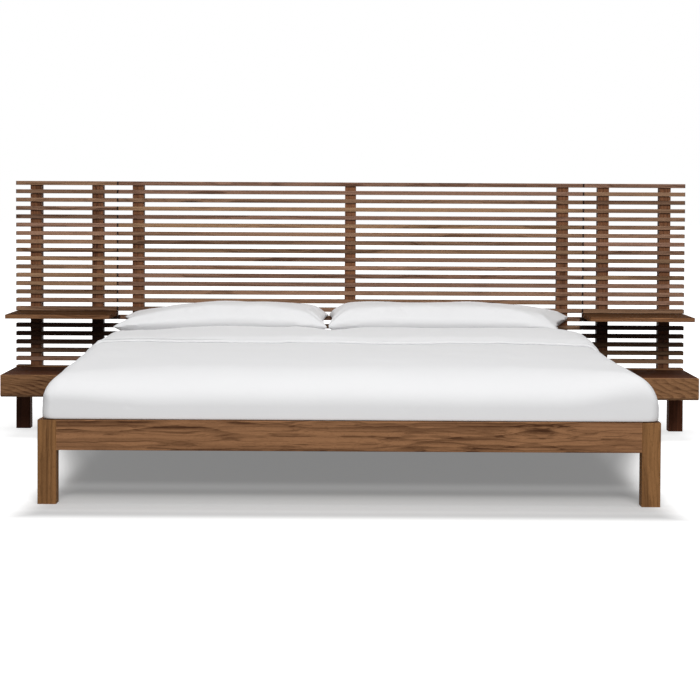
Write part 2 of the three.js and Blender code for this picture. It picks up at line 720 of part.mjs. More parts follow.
// Rings over the turned-back part, from its lip to its rolled head end.
function turnbackRings(half) {
  const share = LIP_RISE / TURNBACK_RISE;
  const steps = [
    [TURNBACK_Y, 0, 1],
    [TURNBACK_Y + DUVET_THICKNESS / 2, share, 1],
    [TURNBACK_Y + TURNBACK_LENGTH / 2, 1, 0.5],
    [DUVET_HEAD_Y - TURNBACK_ROLL, 1, 0],
    [DUVET_HEAD_Y - TURNBACK_ROLL / 4, 0.5, 0],
    [DUVET_HEAD_Y, 0, 0],
  ];
  return steps.map(([y, lift, bend]) => {
    const [left, right] = shoulderHeights(y, DUVET_TOP);
    const edges = [left + lift * TURNBACK_LEFT_RISE, right + lift * TURNBACK_RIGHT_RISE];
    return duvetRing(y, half, DUVET_TOP + lift * TURNBACK_RISE, edges, bend);
  });
}

// The duvet lies over the mattress, hangs over the rails and is turned back at the pillows.
function duvet() {
  const footY = FOOT_INNER_Y - DUVET_FOOT_OVERHANG;
  const half = RAIL_INNER_X + DUVET_OVERHANG;
  const rings = footRings(footY, half);
  for (const share of [0.4, 0.6, 0.8]) {
    const y = TURNBACK_Y * share;
    rings.push(duvetRing(y, half, DUVET_TOP, shoulderHeights(y, DUVET_TOP), 0));
  }
  rings.push(...turnbackRings(half));
  const inner = RAIL_INNER_X - FIT;
  const frame = [
    blockBetween([inner, -CUT_PAST, 0], [BED_WIDTH, BED_LENGTH, BED_HEIGHT + FIT]),
    blockBetween([-BED_WIDTH, -CUT_PAST, 0], [-inner, BED_LENGTH, BED_HEIGHT + FIT]),
    blockBetween([-BED_WIDTH, -CUT_PAST, 0], [BED_WIDTH, FOOT_INNER_Y + FIT, BED_HEIGHT + FIT]),
  ];
  const postInner = BED_WIDTH / 2 - POST_SIDE - FIT;
  for (const side of [-1, 1]) {
    const lowX = sideX(side, postInner, POST_SIDE);
    const high = [lowX + POST_SIDE, POST_SIDE + FIT, BED_HEIGHT + FIT];
    frame.push(blockBetween([lowX, -CUT_PAST, 0], high));
  }
  const body = cut(toSolid(skin(rings)), [mattressBody(SOFT_FIT), ...frame]);
  return piece('duvet', toGeometry(body), 'duvet');
}

// Fullness across a pillow: 1 in the middle, 0 at its seams.
function crown(share, [power, softness]) {
  return Math.max(0, 1 - Math.abs(share) ** power) ** softness;
}

// A point of a pillow's upper or lower face. The lower face is flat where it rests.
function pillowPoint(u, v, face, lowX, highX, form) {
  const farX = highX - form.slant * (1 - v) / 2;
  const endIn = form.drawnIn[u < 0 ? 0 : 1] * (1 - v * v);
  const x = (lowX + farX) / 2 + u * ((farX - lowX) / 2 - endIn);
  const y = v * (PILLOW_LENGTH / 2 - PILLOW_SIDE_IN * (1 - u * u));
  const seam = PILLOW_SEAM_HEIGHT - PILLOW_CORNER_DROOP * Math.abs(u) ** 5 * smooth(-v);
  if (face === 0) return [x, y, seam];
  if (face > 0) {
    const full = crown(u, form.crowns[u < 0 ? 0 : 1]) * crown(v, PILLOW_SIDE_CROWN);
    return [x, y, seam + (PILLOW_HEIGHT - PILLOW_SEAM_HEIGHT) * full];
  }
  const full = crown(u, PILLOW_UNDER_CROWNS[0]) * crown(v, PILLOW_UNDER_CROWNS[1]);
  return [x, y, Math.max(0, seam - (PILLOW_SEAM_HEIGHT + PILLOW_SAG) * full)];
}

// A pillow: two crowned faces that meet in a seam drawn in between pointed corners.
function pillow(name, lowX, highX, form) {
  const points = [];
  const faces = [];
  const index = new Map();
  const vertex = (i, j, face) => {
    const seam = i === 0 || j === 0 || i === PILLOW_ACROSS || j === PILLOW_DEEP;
    const side = seam ? 0 : face;
    const key = `${i},${j},${side}`;
    if (!index.has(key)) {
      index.set(key, points.length);
      const u = 2 * i / PILLOW_ACROSS - 1;
      const v = 2 * j / PILLOW_DEEP - 1;
      points.push(pillowPoint(u, v, side, lowX, highX, form));
    }
    return index.get(key);
  };
  for (const face of [-1, 1]) {
    for (let i = 0; i < PILLOW_ACROSS; i += 1) {
      for (let j = 0; j < PILLOW_DEEP; j += 1) {
        const corners = [[0, 0], [1, 0], [1, 1], [0, 1]].map(([p, q]) => vertex(i + p, j + q, face));
        const [a, b, c, d] = face > 0 ? corners : [...corners].reverse();
        faces.push(a, b, c, a, c, d);
      }
    }
  }
  const geometry = new THREE.BufferGeometry();
  geometry.setAttribute('position', new THREE.Float32BufferAttribute(points.flat(), 3));
  geometry.setIndex(faces);
  const y = PILLOW_FRONT_Y + PILLOW_LENGTH / 2;
  return piece(name, geometry, 'pillow', 0, y, MATTRESS_TOP + FIT);
}

function platformBed() {
  const group = new THREE.Group();
  group.add(...bedPosts(), ...bedRails(), ...ledgers(), slatDeck(), supportLeg());
  return group;
}

function headboardWall() {
  const group = new THREE.Group();
  group.add(...centrePanel());
  for (const { side, tag } of SIDES) {
    group.add(...sidePanel(side, tag), ...joiningPlates(side, tag), shelf(side, tag));
  }
  return group;
}

function nightstands() {
  const group = new THREE.Group();
  for (const { side, tag } of SIDES) {
    group.add(...casing(side, tag), ...runners(side, tag), ...drawer(side, tag));
  }
  return group;
}

function bedding() {
  const group = new THREE.Group();
  const leftEnd = PILLOW_SPLIT_X - PILLOW_GAP / 2;
  group.add(
    mattress(),
    duvet(),
    pillow('pillow_left', -MATTRESS_HALF - PILLOW_LEFT_OVERHANG, leftEnd, PILLOW_LEFT_FORM),
    pillow('pillow_right', leftEnd + PILLOW_GAP, MATTRESS_HALF - PILLOW_RIGHT_MARGIN, PILLOW_RIGHT_FORM),
  );
  return group;
}

const wallBed = new THREE.Group();
wallBed.add(platformBed(), headboardWall(), nightstands(), bedding());
wallBed.position.y = -Math.max(STILE_BACK_Y, LEG_BACK_Y) / 2;

export default wallBed;
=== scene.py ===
"""King-size walnut platform bed before a slatted headboard wall, made up in white, in a plain studio."""

from math import cos, pi, sin, sqrt

import bmesh
import bpy
import numpy as np
from mathutils import Matrix, Vector


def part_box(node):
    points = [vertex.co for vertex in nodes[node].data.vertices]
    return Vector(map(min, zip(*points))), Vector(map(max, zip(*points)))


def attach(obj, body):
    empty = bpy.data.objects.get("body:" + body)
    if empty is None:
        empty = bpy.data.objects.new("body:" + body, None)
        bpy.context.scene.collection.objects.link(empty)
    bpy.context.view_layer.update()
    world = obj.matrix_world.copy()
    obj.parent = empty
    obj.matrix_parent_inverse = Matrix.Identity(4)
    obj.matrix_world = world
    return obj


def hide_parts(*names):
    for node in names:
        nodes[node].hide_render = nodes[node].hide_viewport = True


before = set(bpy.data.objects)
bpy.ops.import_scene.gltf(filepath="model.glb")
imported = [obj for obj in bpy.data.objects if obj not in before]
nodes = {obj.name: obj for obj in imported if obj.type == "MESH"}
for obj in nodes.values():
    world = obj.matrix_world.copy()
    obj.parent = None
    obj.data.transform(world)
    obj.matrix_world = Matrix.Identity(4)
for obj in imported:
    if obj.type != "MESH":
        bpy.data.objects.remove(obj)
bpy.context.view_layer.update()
SCENE = bpy.context.scene

# Places that the bedding is made to, in metres
FOOT_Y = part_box("post_front_left")[0].y
HEADBOARD_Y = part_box("slat_panel_centre")[0].y
RAIL_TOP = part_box("rail_foot")[1].z
RAIL_INNER_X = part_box("rail_right")[0].x
FOOT_INNER_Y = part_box("rail_foot")[1].y
MATTRESS_LOW, MATTRESS_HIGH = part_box("mattress")

# Slats and stiles as the CAD has them, in metres. The last slat is the lowest one
SLAT_PITCH = 0.0364
SLAT_HEIGHT = 0.0174
SLAT_DEPTH = 0.050
LAST_SLAT_Z = 0.2962
STILE_HALF = 0.02405
STILE_FRONT_Y = HEADBOARD_Y + 0.0065


# Shader tools


def feed(tree, made, inputs):
    """Gives a node its inputs. Each is a number, a colour or the socket that feeds it."""
    for key, value in inputs.items():
        if isinstance(value, bpy.types.NodeSocket):
            tree.links.new(value, made.inputs[key])
        else:
            made.inputs[key].default_value = value
    return made


def node(tree, kind, inputs=None, **settings):
    """Adds one shader node with its settings and inputs."""
    made = tree.nodes.new(kind)
    for name, value in settings.items():
        setattr(made, name, value)
    return feed(tree, made, inputs or {})


def maths(tree, operation, first, *more):
    """Math nodes in a row, as a socket: each further value is worked into the result so far."""
    if not more:
        return node(tree, "ShaderNodeMath", {0: first}, operation=operation).outputs[0]
    for value in more:
        first = node(tree, "ShaderNodeMath", {0: first, 1: value}, operation=operation).outputs[0]
    return first


def plus(tree, *values):
    """The sum of the values."""
    return maths(tree, "ADD", *values)


def minus(tree, first, second):
    """The first value less the second."""
    return maths(tree, "SUBTRACT", first, second)


def times(tree, *values):
    """The product of the values."""
    return maths(tree, "MULTIPLY", *values)


def vector_maths(tree, operation, *values):
    """The outputs of one Vector Math node."""
    return node(tree, "ShaderNodeVectorMath", dict(enumerate(values)), operation=operation).outputs


def parts_of(tree, vector):
    """The X, Y and Z of a vector, as sockets by name."""
    return node(tree, "ShaderNodeSeparateXYZ", {0: vector}).outputs


def joined(tree, x, y, z):
    """The vector of three values, as a socket."""
    return node(tree, "ShaderNodeCombineXYZ", {0: x, 1: y, 2: z}).outputs[0]


def spread(tree, value, low, high, to_low=0.0, to_high=1.0):
    """A smooth step: value from low to high becomes to_low to to_high."""
    span = {"Value": value, "From Min": low, "From Max": high, "To Min": to_low, "To Max": to_high}
    return node(tree, "ShaderNodeMapRange", span, interpolation_type="SMOOTHSTEP").outputs["Result"]


def blend(tree, kind, factor, first, second):
    """Mixes two colours, as a socket."""
    mixed = {0: factor, 6: first, 7: second}
    return node(tree, "ShaderNodeMix", mixed, data_type="RGBA", blend_type=kind).outputs[2]


def noise(tree, vector, scale, detail=2.0, rough=0.5):
    """Noise over a vector, as a socket from 0 to 1."""
    field = {"Vector": vector, "Scale": scale, "Detail": detail, "Roughness": rough}
    return node(tree, "ShaderNodeTexNoise", field).outputs[0]


def stretched(tree, vector, along, across):
    """The vector scaled by one number along the grain and another across it."""
    scaled = {"Vector": vector, "Scale": (along, across, across)}
    return node(tree, "ShaderNodeMapping", scaled).outputs[0]


def long_noise(tree, vector, along, across, detail=2.0, rough=0.5):
    """Noise with one scale along the grain and another across it."""
    return noise(tree, stretched(tree, vector, along, across), 1.0, detail, rough)


def new_group(name, inputs, outputs):
    """A shader group, what it is given and its output node. An input without a value is a vector."""
    kinds = {type(None): "NodeSocketVector", tuple: "NodeSocketColor", float: "NodeSocketFloat"}
    group = bpy.data.node_groups.new(name, "ShaderNodeTree")
    for label, value in inputs.items():
        socket = group.interface.new_socket(label, in_out="INPUT", socket_type=kinds[type(value)])
        if value is not None:
            socket.default_value = value
    for label in outputs:
        kind = "NodeSocketColor" if label == "Color" else "NodeSocketFloat"
        group.interface.new_socket(label, in_out="OUTPUT", socket_type=kind)
    return group, group.nodes.new("NodeGroupInput").outputs, group.nodes.new("NodeGroupOutput")


def srgb(red, green, blue):
    """A colour given as 0 to 255 on screen, as linear light with alpha."""
    share = [value / 255 for value in (red, green, blue)]
    light = [v / 12.92 if v <= 0.04045 else ((v + 0.055) / 1.055) ** 2.4 for v in share]
    return (*light, 1.0)


def grey(level):
    """A grey of linear light with alpha."""
    return (level, level, level, 1.0)


def plain_material(name):
    """A material with an empty Principled shader."""
    made = bpy.data.materials.new(name)
    made.use_nodes = True
    return made, made.node_tree, made.node_tree.nodes["Principled BSDF"]


def finish(tree, shader, colour, surface, bump, values):
    """Feeds a shader: colour, a surface's roughness, its height as a bump, and plain values."""
    relief = {"Height": surface["Height"], "Strength": bump[0], "Distance": bump[1]}
    normal = node(tree, "ShaderNodeBump", relief).outputs[0]
    fed = {"Base Color": colour, "Roughness": surface["Roughness"], "Normal": normal}
    feed(tree, shader, {**fed, **values})


def dress(piece, material):
    """One material over the whole piece."""
    piece.data.materials.clear()
    piece.data.materials.append(material)


# Wood


def wavy(tree, place, knot_bend):
    """How far the grain is shifted: its long drift, its small wiggle and the bend round knots."""
    drift = minus(tree, long_noise(tree, place, 1.6, 7.0, 3.0), 0.5)
    wiggle = minus(tree, long_noise(tree, place, 9.0, 24.0), 0.5)
    return plus(tree, times(tree, drift, 0.085), times(tree, wiggle, 0.007), knot_bend)


def make_wood_grain():
    """Grain of a sawn board that runs along the vector's X.

    Growth rings are circles round a wandering pith line below the board, so a flat cut shows
    cathedrals. Their strength comes and goes. Broad dark bands, thin dark lines, knots with bent
    grain round them, fibres and open pores go over them.
    """
    tree, given, out = new_group(
        "wood_grain",
        {
            "Vector": None, "Light": srgb(150, 110, 82), "Dark": srgb(92, 58, 38), "Rings": 0.5,
            "Ring Pitch": 0.011, "Wander": 1.0, "Streaks": 0.5, "Lines": 0.5, "Knots": 0.5,
            "Tint": grey(1.0),
        },
        ("Color", "Roughness", "Height"),
    )
    place = given["Vector"]
    cells = {"Vector": stretched(tree, place, 1.7, 9.0), "Scale": 1.0, "Randomness": 1.0}
    knot_field = node(tree, "ShaderNodeTexVoronoi", cells, feature="F1").outputs
    knot_near = spread(tree, knot_field["Distance"], 0.05, 0.42, 1.0, 0.0)
    knot_core = spread(tree, knot_field["Distance"], 0.03, 0.12, 1.0, 0.0)
    drawn = node(tree, "ShaderNodeTexWhiteNoise", {"Vector": knot_field["Position"]}).outputs
    knot_kept = spread(tree, drawn["Value"], 0.55, 0.6)
    knot = times(tree, knot_core, knot_kept, given["Knots"])
    bend = times(tree, knot_near, knot_kept, 0.012)
    shift = times(tree, wavy(tree, place, bend), given["Wander"])
    parts = parts_of(tree, place)
    across = plus(tree, parts["Y"], shift)
    upright = plus(tree, parts["Z"], shift)
    bent = joined(tree, parts["X"], across, upright)
    squares = plus(tree, times(tree, across, across), times(tree, upright, upright))
    rings_out = maths(tree, "DIVIDE", maths(tree, "SQRT", squares), given["Ring Pitch"])
    phase = maths(tree, "FRACT", plus(tree, rings_out, long_noise(tree, bent, 0.7, 16.0)))
    late = times(tree, spread(tree, phase, 0.30, 0.95), spread(tree, phase, 0.95, 1.0, 1.0, 0.0))
    strong = spread(tree, long_noise(tree, bent, 0.8, 9.0, 1.0), 0.35, 0.60, 0.25, 1.0)
    ring = times(tree, late, strong)
    streak = spread(tree, long_noise(tree, bent, 0.45, 26.0, 3.0), 0.47, 0.66)
    line = spread(tree, long_noise(tree, bent, 0.9, 150.0, rough=0.6), 0.48, 0.66)
    fibre = long_noise(tree, bent, 9.0, 620.0, rough=0.6)
    pore = spread(tree, long_noise(tree, bent, 55.0, 1500.0, 1.0), 0.60, 0.70)
    cloud = long_noise(tree, place, 1.1, 4.0)
    depth = plus(
        tree,
        times(tree, ring, given["Rings"]),
        times(tree, streak, given["Streaks"]),
        times(tree, line, given["Lines"]),
        times(tree, minus(tree, fibre, 0.5), 0.45),
        times(tree, minus(tree, cloud, 0.5), 0.50),
    )
    depth = node(tree, "ShaderNodeClamp", {0: depth}).outputs[0]
    colour = blend(tree, "MIX", depth, given["Light"], given["Dark"])
    colour = blend(tree, "MULTIPLY", times(tree, pore, 0.45), colour, srgb(110, 84, 66))
    colour = blend(tree, "MIX", knot, colour, srgb(40, 22, 14))
    colour = blend(tree, "MULTIPLY", 1.0, colour, given["Tint"])
    rough = plus(tree, times(tree, depth, 0.08), 0.66, times(tree, pore, 0.12))
    height = minus(tree, times(tree, fibre, 0.35), times(tree, pore, 0.8))
    height = minus(tree, height, times(tree, ring, 0.25))
    feed(tree, out, {"Color": colour, "Roughness": rough, "Height": height})
    return tree


def make_board_edges():
    """Where a sawn board's arrises and ends are, from the distance to the sides of its box.

    A point on a face is 0 from one side. The middle one of its three distances is how far
    the nearest arris is. The arrises are lighter in places, partly as handling wear and partly as a
    painted highlight. The ends drink more oil.
    """
    tree, given, out = new_group(
        "board_edges", dict.fromkeys(("Place", "Low", "High", "Along")), ("Wear And Highlight", "End", "From End")
    )
    place = given["Place"]
    above = vector_maths(tree, "SUBTRACT", place, given["Low"])[0]
    below = vector_maths(tree, "SUBTRACT", given["High"], place)[0]
    away = vector_maths(tree, "ABSOLUTE", vector_maths(tree, "MINIMUM", above, below)[0])[0]
    side = parts_of(tree, away)
    low_two = maths(tree, "MINIMUM", side["X"], side["Y"])
    high_two = maths(tree, "MAXIMUM", side["X"], side["Y"])
    middle = maths(tree, "MAXIMUM", low_two, maths(tree, "MINIMUM", high_two, side["Z"]))
    rubbed_and_highlit = spread(tree, noise(tree, place, 38.0, 3.0), 0.38, 0.62, 0.2, 1.0)
    # Lighter arrises in places: partly wear, partly a painted highlight
    wear = times(tree, spread(tree, middle, 0.0005, 0.0035, 1.0, 0.0), rubbed_and_highlit)
    from_end = vector_maths(tree, "DOT_PRODUCT", away, given["Along"])["Value"]
    end = maths(tree, "LESS_THAN", from_end, 0.0004)
    feed(tree, out, {"Wear And Highlight": wear, "End": end, "From End": from_end})
    return tree


WOOD_GRAIN = make_wood_grain()
BOARD_EDGES = make_board_edges()

# Each axis, and the turn in radians that lays the grain's own X along it
ALONG = {"x": (1.0, 0.0, 0.0), "y": (0.0, 1.0, 0.0), "z": (0.0, 0.0, 1.0)}
GRAIN_TURN = {"x": (0.0, 0.0, 0.0), "y": (0.0, 0.0, -pi / 2), "z": (0.0, pi / 2, 0.0)}


def walnut(light, dark, **values):
    """Values of one walnut finish."""
    usual = {"Rings": 0.35, "Streaks": 0.45, "Lines": 0.35, "Knots": 0.6}
    return {"Light": srgb(*light), "Dark": srgb(*dark), **usual, **values}


RAIL_LOOK = walnut((153, 110, 76), (70, 42, 23), Rings=0.55, Lines=0.5)
POST_LOOK = walnut((143, 102, 63), (72, 45, 24), Rings=0.35, Lines=0.2, Knots=0.2)
SLAT_LOOK = walnut((150, 116, 92), (76, 50, 34), Rings=0.3, Knots=0.9)
STILE_LOOK = walnut((138, 93, 64), (62, 34, 20), Knots=0.4)
SHELF_LOOK = walnut((142, 102, 72), (74, 46, 28), Rings=0.4)
TOP_LOOK = walnut((84, 52, 36), (42, 24, 15), Rings=0.4, Knots=0.3)
FRONT_LOOK = walnut((138, 100, 68), (76, 48, 30), Rings=0.5, Wander=0.45, Knots=0.2)
FRONT_LOOK["Ring Pitch"] = 0.0062
LEG_LOOK = walnut((84, 48, 31), (42, 22, 13), Knots=0.2)
BIRCH_LOOK = walnut((216, 190, 152), (188, 156, 116), Rings=0.5, Streaks=0.3, Knots=0.15)

# How the grain of the drawer fronts is turned, in radians, so that it shows arcs
FRONT_TILT = 0.12

# What the colour is multiplied by: on arrises, as wear and a painted highlight; on end grain; as painted
# shade on a shelf's upper face, in the stiles' inside corners and at the slats' ends; and as the shelf's
# painted shadow on stiles and slats just under it
RUBBED_AND_HIGHLIT = (1.45, 1.42, 1.36, 1.0)
END_GRAIN = srgb(140, 128, 118)
SHELF_TOP_SHADE = (0.29, 0.29 * 0.94, 0.29 * 0.86, 1.0)
CORNER_SHADE = srgb(104, 82, 68)
JOINT_SHADE = srgb(70, 56, 50)
SHELF_SHADOW_STILE = (0.30, 0.25, 0.22, 1.0)
SHELF_SHADOW_SLAT = (0.13, 0.10, 0.09, 1.0)

# Bump of the pores and fibres, and how glossy oiled boards and the dull tops are
WOOD_BUMP = (0.35, 0.0004)
OILED_IOR = 1.2
DULL_IOR = 1.06


def laid_grain(tree, place, axis, seed, tilt=0.0):
    """Board coordinates with the grain along an axis, moved to a part of the log of its own."""
    rng = np.random.default_rng(seed)
    turn = Vector(GRAIN_TURN[axis]) + Vector((0.0, 0.0, tilt))
    shift = (rng.uniform(-9, 9), rng.uniform(0.05, 0.11), rng.uniform(0.03, 0.09))
    laid = {"Vector": place, "Rotation": turn, "Location": shift}
    return node(tree, "ShaderNodeMapping", laid).outputs[0]


def grained(tree, vector, look, tint):
    """The outputs of the wood grain over a vector, in one finish and tint."""
    values = {"Vector": vector, "Tint": tint, **look}
    return node(tree, "ShaderNodeGroup", values, node_tree=WOOD_GRAIN).outputs


def edged(tree, place, low, high, axis):
    """The outputs of the edge masks for a board's box and the axis of its grain."""
    values = {"Place": place, "Low": low, "High": high, "Along": ALONG[axis]}
    return node(tree, "ShaderNodeGroup", values, node_tree=BOARD_EDGES).outputs


def worked(tree, colour, edges):
    """The colour lighter on the arrises, as wear and a painted highlight, and darker on the end grain."""
    rubbed_and_highlit = blend(tree, "MULTIPLY", 1.0, colour, RUBBED_AND_HIGHLIT)
    colour = blend(tree, "MIX", times(tree, edges["Wear And Highlight"], 0.45), colour, rubbed_and_highlit)
    return blend(tree, "MULTIPLY", times(tree, edges["End"], 0.6), colour, END_GRAIN)


def corner_shaded(tree, colour, place):
    """The colour of a stile with painted shade just under each slat and, less, just over it."""
    rise = minus(tree, parts_of(tree, place)["Z"], LAST_SLAT_Z)
    phase = times(tree, maths(tree, "FRACT", maths(tree, "DIVIDE", rise, SLAT_PITCH)), SLAT_PITCH)
    # Painted shade: strongest just under each slat, weaker just over it
    under = spread(tree, phase, SLAT_PITCH - 0.0075, SLAT_PITCH - 0.0015, 0.0, 0.85)
    over = spread(tree, phase, SLAT_HEIGHT, SLAT_HEIGHT + 0.0025, 0.45, 0.0)
    above_last = maths(tree, "GREATER_THAN", rise, -0.004)
    slat_shade = times(tree, maths(tree, "MAXIMUM", under, over), above_last)
    return blend(tree, "MULTIPLY", slat_shade, colour, CORNER_SHADE)


def shelf_shadowed(tree, colour, place, shade):
    """The colour of a side panel with the shelf's shadow painted on below it: most just under it, least
    lowest down.
    """
    parts = parts_of(tree, place)
    aside = maths(tree, "GREATER_THAN", maths(tree, "ABSOLUTE", parts["X"]), RAIL_INNER_X)
    below = maths(tree, "LESS_THAN", parts["Z"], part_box("shelf_left")[0].z)
    deep = times(tree, aside, below, spread(tree, parts["Z"], 0.30, 0.40, 0.15, 1.0))
    return blend(tree, "MULTIPLY", deep, colour, shade)


def board_wood(name, axis, seed, look, tone):
    """Wood of one board whose grain runs along an axis.

    A shelf's upper face is darker, as painted shade. A loose stile has painted shade at its slats, and
    the shelf's painted shadow under the shelf.
    """
    made, tree, shader = plain_material("wood_" + name)
    coordinates = node(tree, "ShaderNodeTexCoord").outputs
    place = coordinates["Object"]
    tilt = FRONT_TILT if look is FRONT_LOOK else 0.0
    grain = grained(tree, laid_grain(tree, place, axis, seed, tilt), look, grey(tone))
    colour = worked(tree, grain["Color"], edged(tree, place, *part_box(name), axis))
    if look is SHELF_LOOK:
        # Painted shade on the shelf's upward faces
        upward = parts_of(tree, coordinates["Normal"])["Z"]
        colour = blend(tree, "MULTIPLY", spread(tree, upward, 0.6, 0.95), colour, SHELF_TOP_SHADE)
    if look is STILE_LOOK:
        # Painted shade in the stile's corners at each slat, and the shelf's painted shadow below the
        # shelf
        colour = shelf_shadowed(tree, corner_shaded(tree, colour, place), place, SHELF_SHADOW_STILE)
    ior = DULL_IOR if look is TOP_LOOK or look is SHELF_LOOK else OILED_IOR
    finish(tree, shader, colour, grain, WOOD_BUMP, {"IOR": ior})
    return made


def slat_wood(name, seed, stile_x):
    """Wood of a slat panel: a grain and tint for each row, and upright grain on the panel's stile."""
    made, tree, shader = plain_material("wood_" + name)
    place = node(tree, "ShaderNodeTexCoord").outputs["Object"]
    parts = parts_of(tree, place)
    half_gap = (SLAT_PITCH - SLAT_HEIGHT) / 2
    rise = minus(tree, parts["Z"], LAST_SLAT_Z - half_gap)
    row = maths(tree, "FLOOR", maths(tree, "DIVIDE", rise, SLAT_PITCH))
    at = {"W": plus(tree, row, seed * 31.7)}
    drawn = node(tree, "ShaderNodeTexWhiteNoise", at, noise_dimensions="1D").outputs
    random = node(tree, "ShaderNodeSeparateColor", {0: drawn["Color"]}).outputs
    shift = (times(tree, random[part], most) for part, most in enumerate((11.0, 0.3, 0.2)))
    moved = vector_maths(tree, "ADD", place, joined(tree, *shift))[0]
    tone = plus(tree, times(tree, drawn["Value"], 0.50), 0.74)
    warm = minus(tree, random[1], 0.5)
    green = times(tree, tone, plus(tree, times(tree, warm, 0.05), 1.0))
    blue = times(tree, tone, minus(tree, 1.0, times(tree, warm, 0.16)))
    tint = node(tree, "ShaderNodeCombineColor", {0: tone, 1: green, 2: blue}).outputs[0]
    slat = grained(tree, laid_grain(tree, moved, "x", seed), SLAT_LOOK, tint)
    base = plus(tree, times(tree, row, SLAT_PITCH), LAST_SLAT_Z)
    low_x, high_x = (corner.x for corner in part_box(name))
    low = joined(tree, low_x, HEADBOARD_Y, base)
    high = joined(tree, high_x, HEADBOARD_Y + SLAT_DEPTH, plus(tree, base, SLAT_HEIGHT))
    edges = edged(tree, place, low, high, "x")
    slat_colour = worked(tree, slat["Color"], edges)
    # Painted shade at each slat's ends, where the panels meet
    joint_shade = spread(tree, edges["From End"], 0.0016, 0.0034, 0.75, 0.0)
    slat_colour = blend(tree, "MULTIPLY", joint_shade, slat_colour, JOINT_SHADE)
    stile = grained(tree, laid_grain(tree, place, "z", seed + 1), STILE_LOOK, grey(1.0))
    beside = maths(tree, "ABSOLUTE", minus(tree, parts["X"], stile_x))
    behind = maths(tree, "GREATER_THAN", parts["Y"], STILE_FRONT_Y)
    on_stile = times(tree, maths(tree, "LESS_THAN", beside, STILE_HALF), behind)
    # On the stile: its upright grain, with painted shade in its corners at each slat
    colour = blend(tree, "MIX", on_stile, slat_colour, corner_shaded(tree, stile["Color"], place))
    # The shelf's painted shadow on the side panels' slats and stiles
    colour = shelf_shadowed(tree, colour, place, SHELF_SHADOW_SLAT)
    finish(tree, shader, colour, slat, WOOD_BUMP, {"IOR": OILED_IOR})
    return made


# Wooden nodes by finish and axis of the grain, each with its part of the log and its tone: one pair
# for a node of that name, two for those named with _left and _right
BOARDS = (
    (RAIL_LOOK, "x", {
        "rail_foot": [(4, 1.0)], "rail_head": [(5, 0.95)], "bottom_rail_centre": [(16, 0.9)],
        "bottom_rail": [(17, 0.75), (18, 0.75)],
    }),
    (RAIL_LOOK, "y", {"rail": [(6, 1.0), (7, 0.97)]}),
    (POST_LOOK, "z", {"post_front": [(8, 0.97), (9, 1.05)], "post_back": [(10, 0.95), (11, 1.0)]}),
    (STILE_LOOK, "z", {"stile_centre": [(12, 0.97), (13, 1.03)], "stile_outer": [(14, 0.9), (15, 0.95)]}),
    (LEG_LOOK, "z", {
        "panel_leg_inner": [(19, 0.8), (20, 1.0)], "panel_leg_outer": [(21, 0.8), (22, 1.7)],
    }),
    (SHELF_LOOK, "x", {"shelf": [(23, 1.0), (24, 1.4)]}),
    (TOP_LOOK, "x", {"casing_top": [(25, 1.0), (26, 1.0)], "casing_bottom": [(27, 1.0), (28, 1.0)]}),
    (TOP_LOOK, "y", {"casing_inner": [(29, 1.0), (30, 1.0)], "casing_outer": [(31, 1.05), (32, 1.05)]}),
    (FRONT_LOOK, "x", {"drawer_front": [(33, 1.0), (34, 1.2)]}),
    (BIRCH_LOOK, "x", {
        "slat_deck": [(37, 1.0)],
        "drawer_back": [(45, 1.0), (49, 1.0)], "drawer_bottom": [(46, 1.05), (50, 1.05)],
    }),
    (BIRCH_LOOK, "y", {
        "ledger": [(35, 1.0), (36, 0.97)],
        "runner_inner": [(39, 0.95), (40, 0.95)], "runner_outer": [(41, 0.95), (42, 0.95)],
        "drawer_wall_a": [(43, 1.0), (47, 1.0)], "drawer_wall_b": [(44, 1.0), (48, 1.0)],
    }),
    (BIRCH_LOOK, "z", {"support_leg": [(38, 1.0)]}),
)

# Slat panels: their part of the log and the middle of the stile glued to them, in metres
SLAT_PANELS = {
    "slat_panel_centre": (60, 0.0), "slat_panel_left": (67, -1.0995), "slat_panel_right": (74, 1.0995),
}


def dress_wood():
    """Gives every wooden node a board of its own."""
    for look, axis, boards in BOARDS:
        for stem, draws in boards.items():
            names = [stem] if len(draws) == 1 else [stem + "_left", stem + "_right"]
            for name, (seed, tone) in zip(names, draws):
                dress(nodes[name], board_wood(name, axis, seed, look, tone))
    for name, (seed, stile_x) in SLAT_PANELS.items():
        dress(nodes[name], slat_wood(name, seed, stile_x))


def dress_steel():
    """Brushed steel for the joining plates: fine scratches along X."""
    made, tree, shader = plain_material("brushed_steel")
    place = node(tree, "ShaderNodeTexCoord").outputs["Object"]
    scratch = long_noise(tree, place, 12.0, 1800.0)
    colour = blend(tree, "MIX", scratch, srgb(150, 152, 155), srgb(196, 198, 201))
    rough = spread(tree, scratch, 0.2, 0.8, 0.28, 0.46)
    feed(tree, shader, {"Base Color": colour, "Roughness": rough, "Metallic": 1.0})
    for kind in ("plate", "strap"):
        for side in ("left", "right"):
            dress(nodes[f"joining_{kind}_{side}"], made)


dress_wood()
dress_steel()


# Cloth


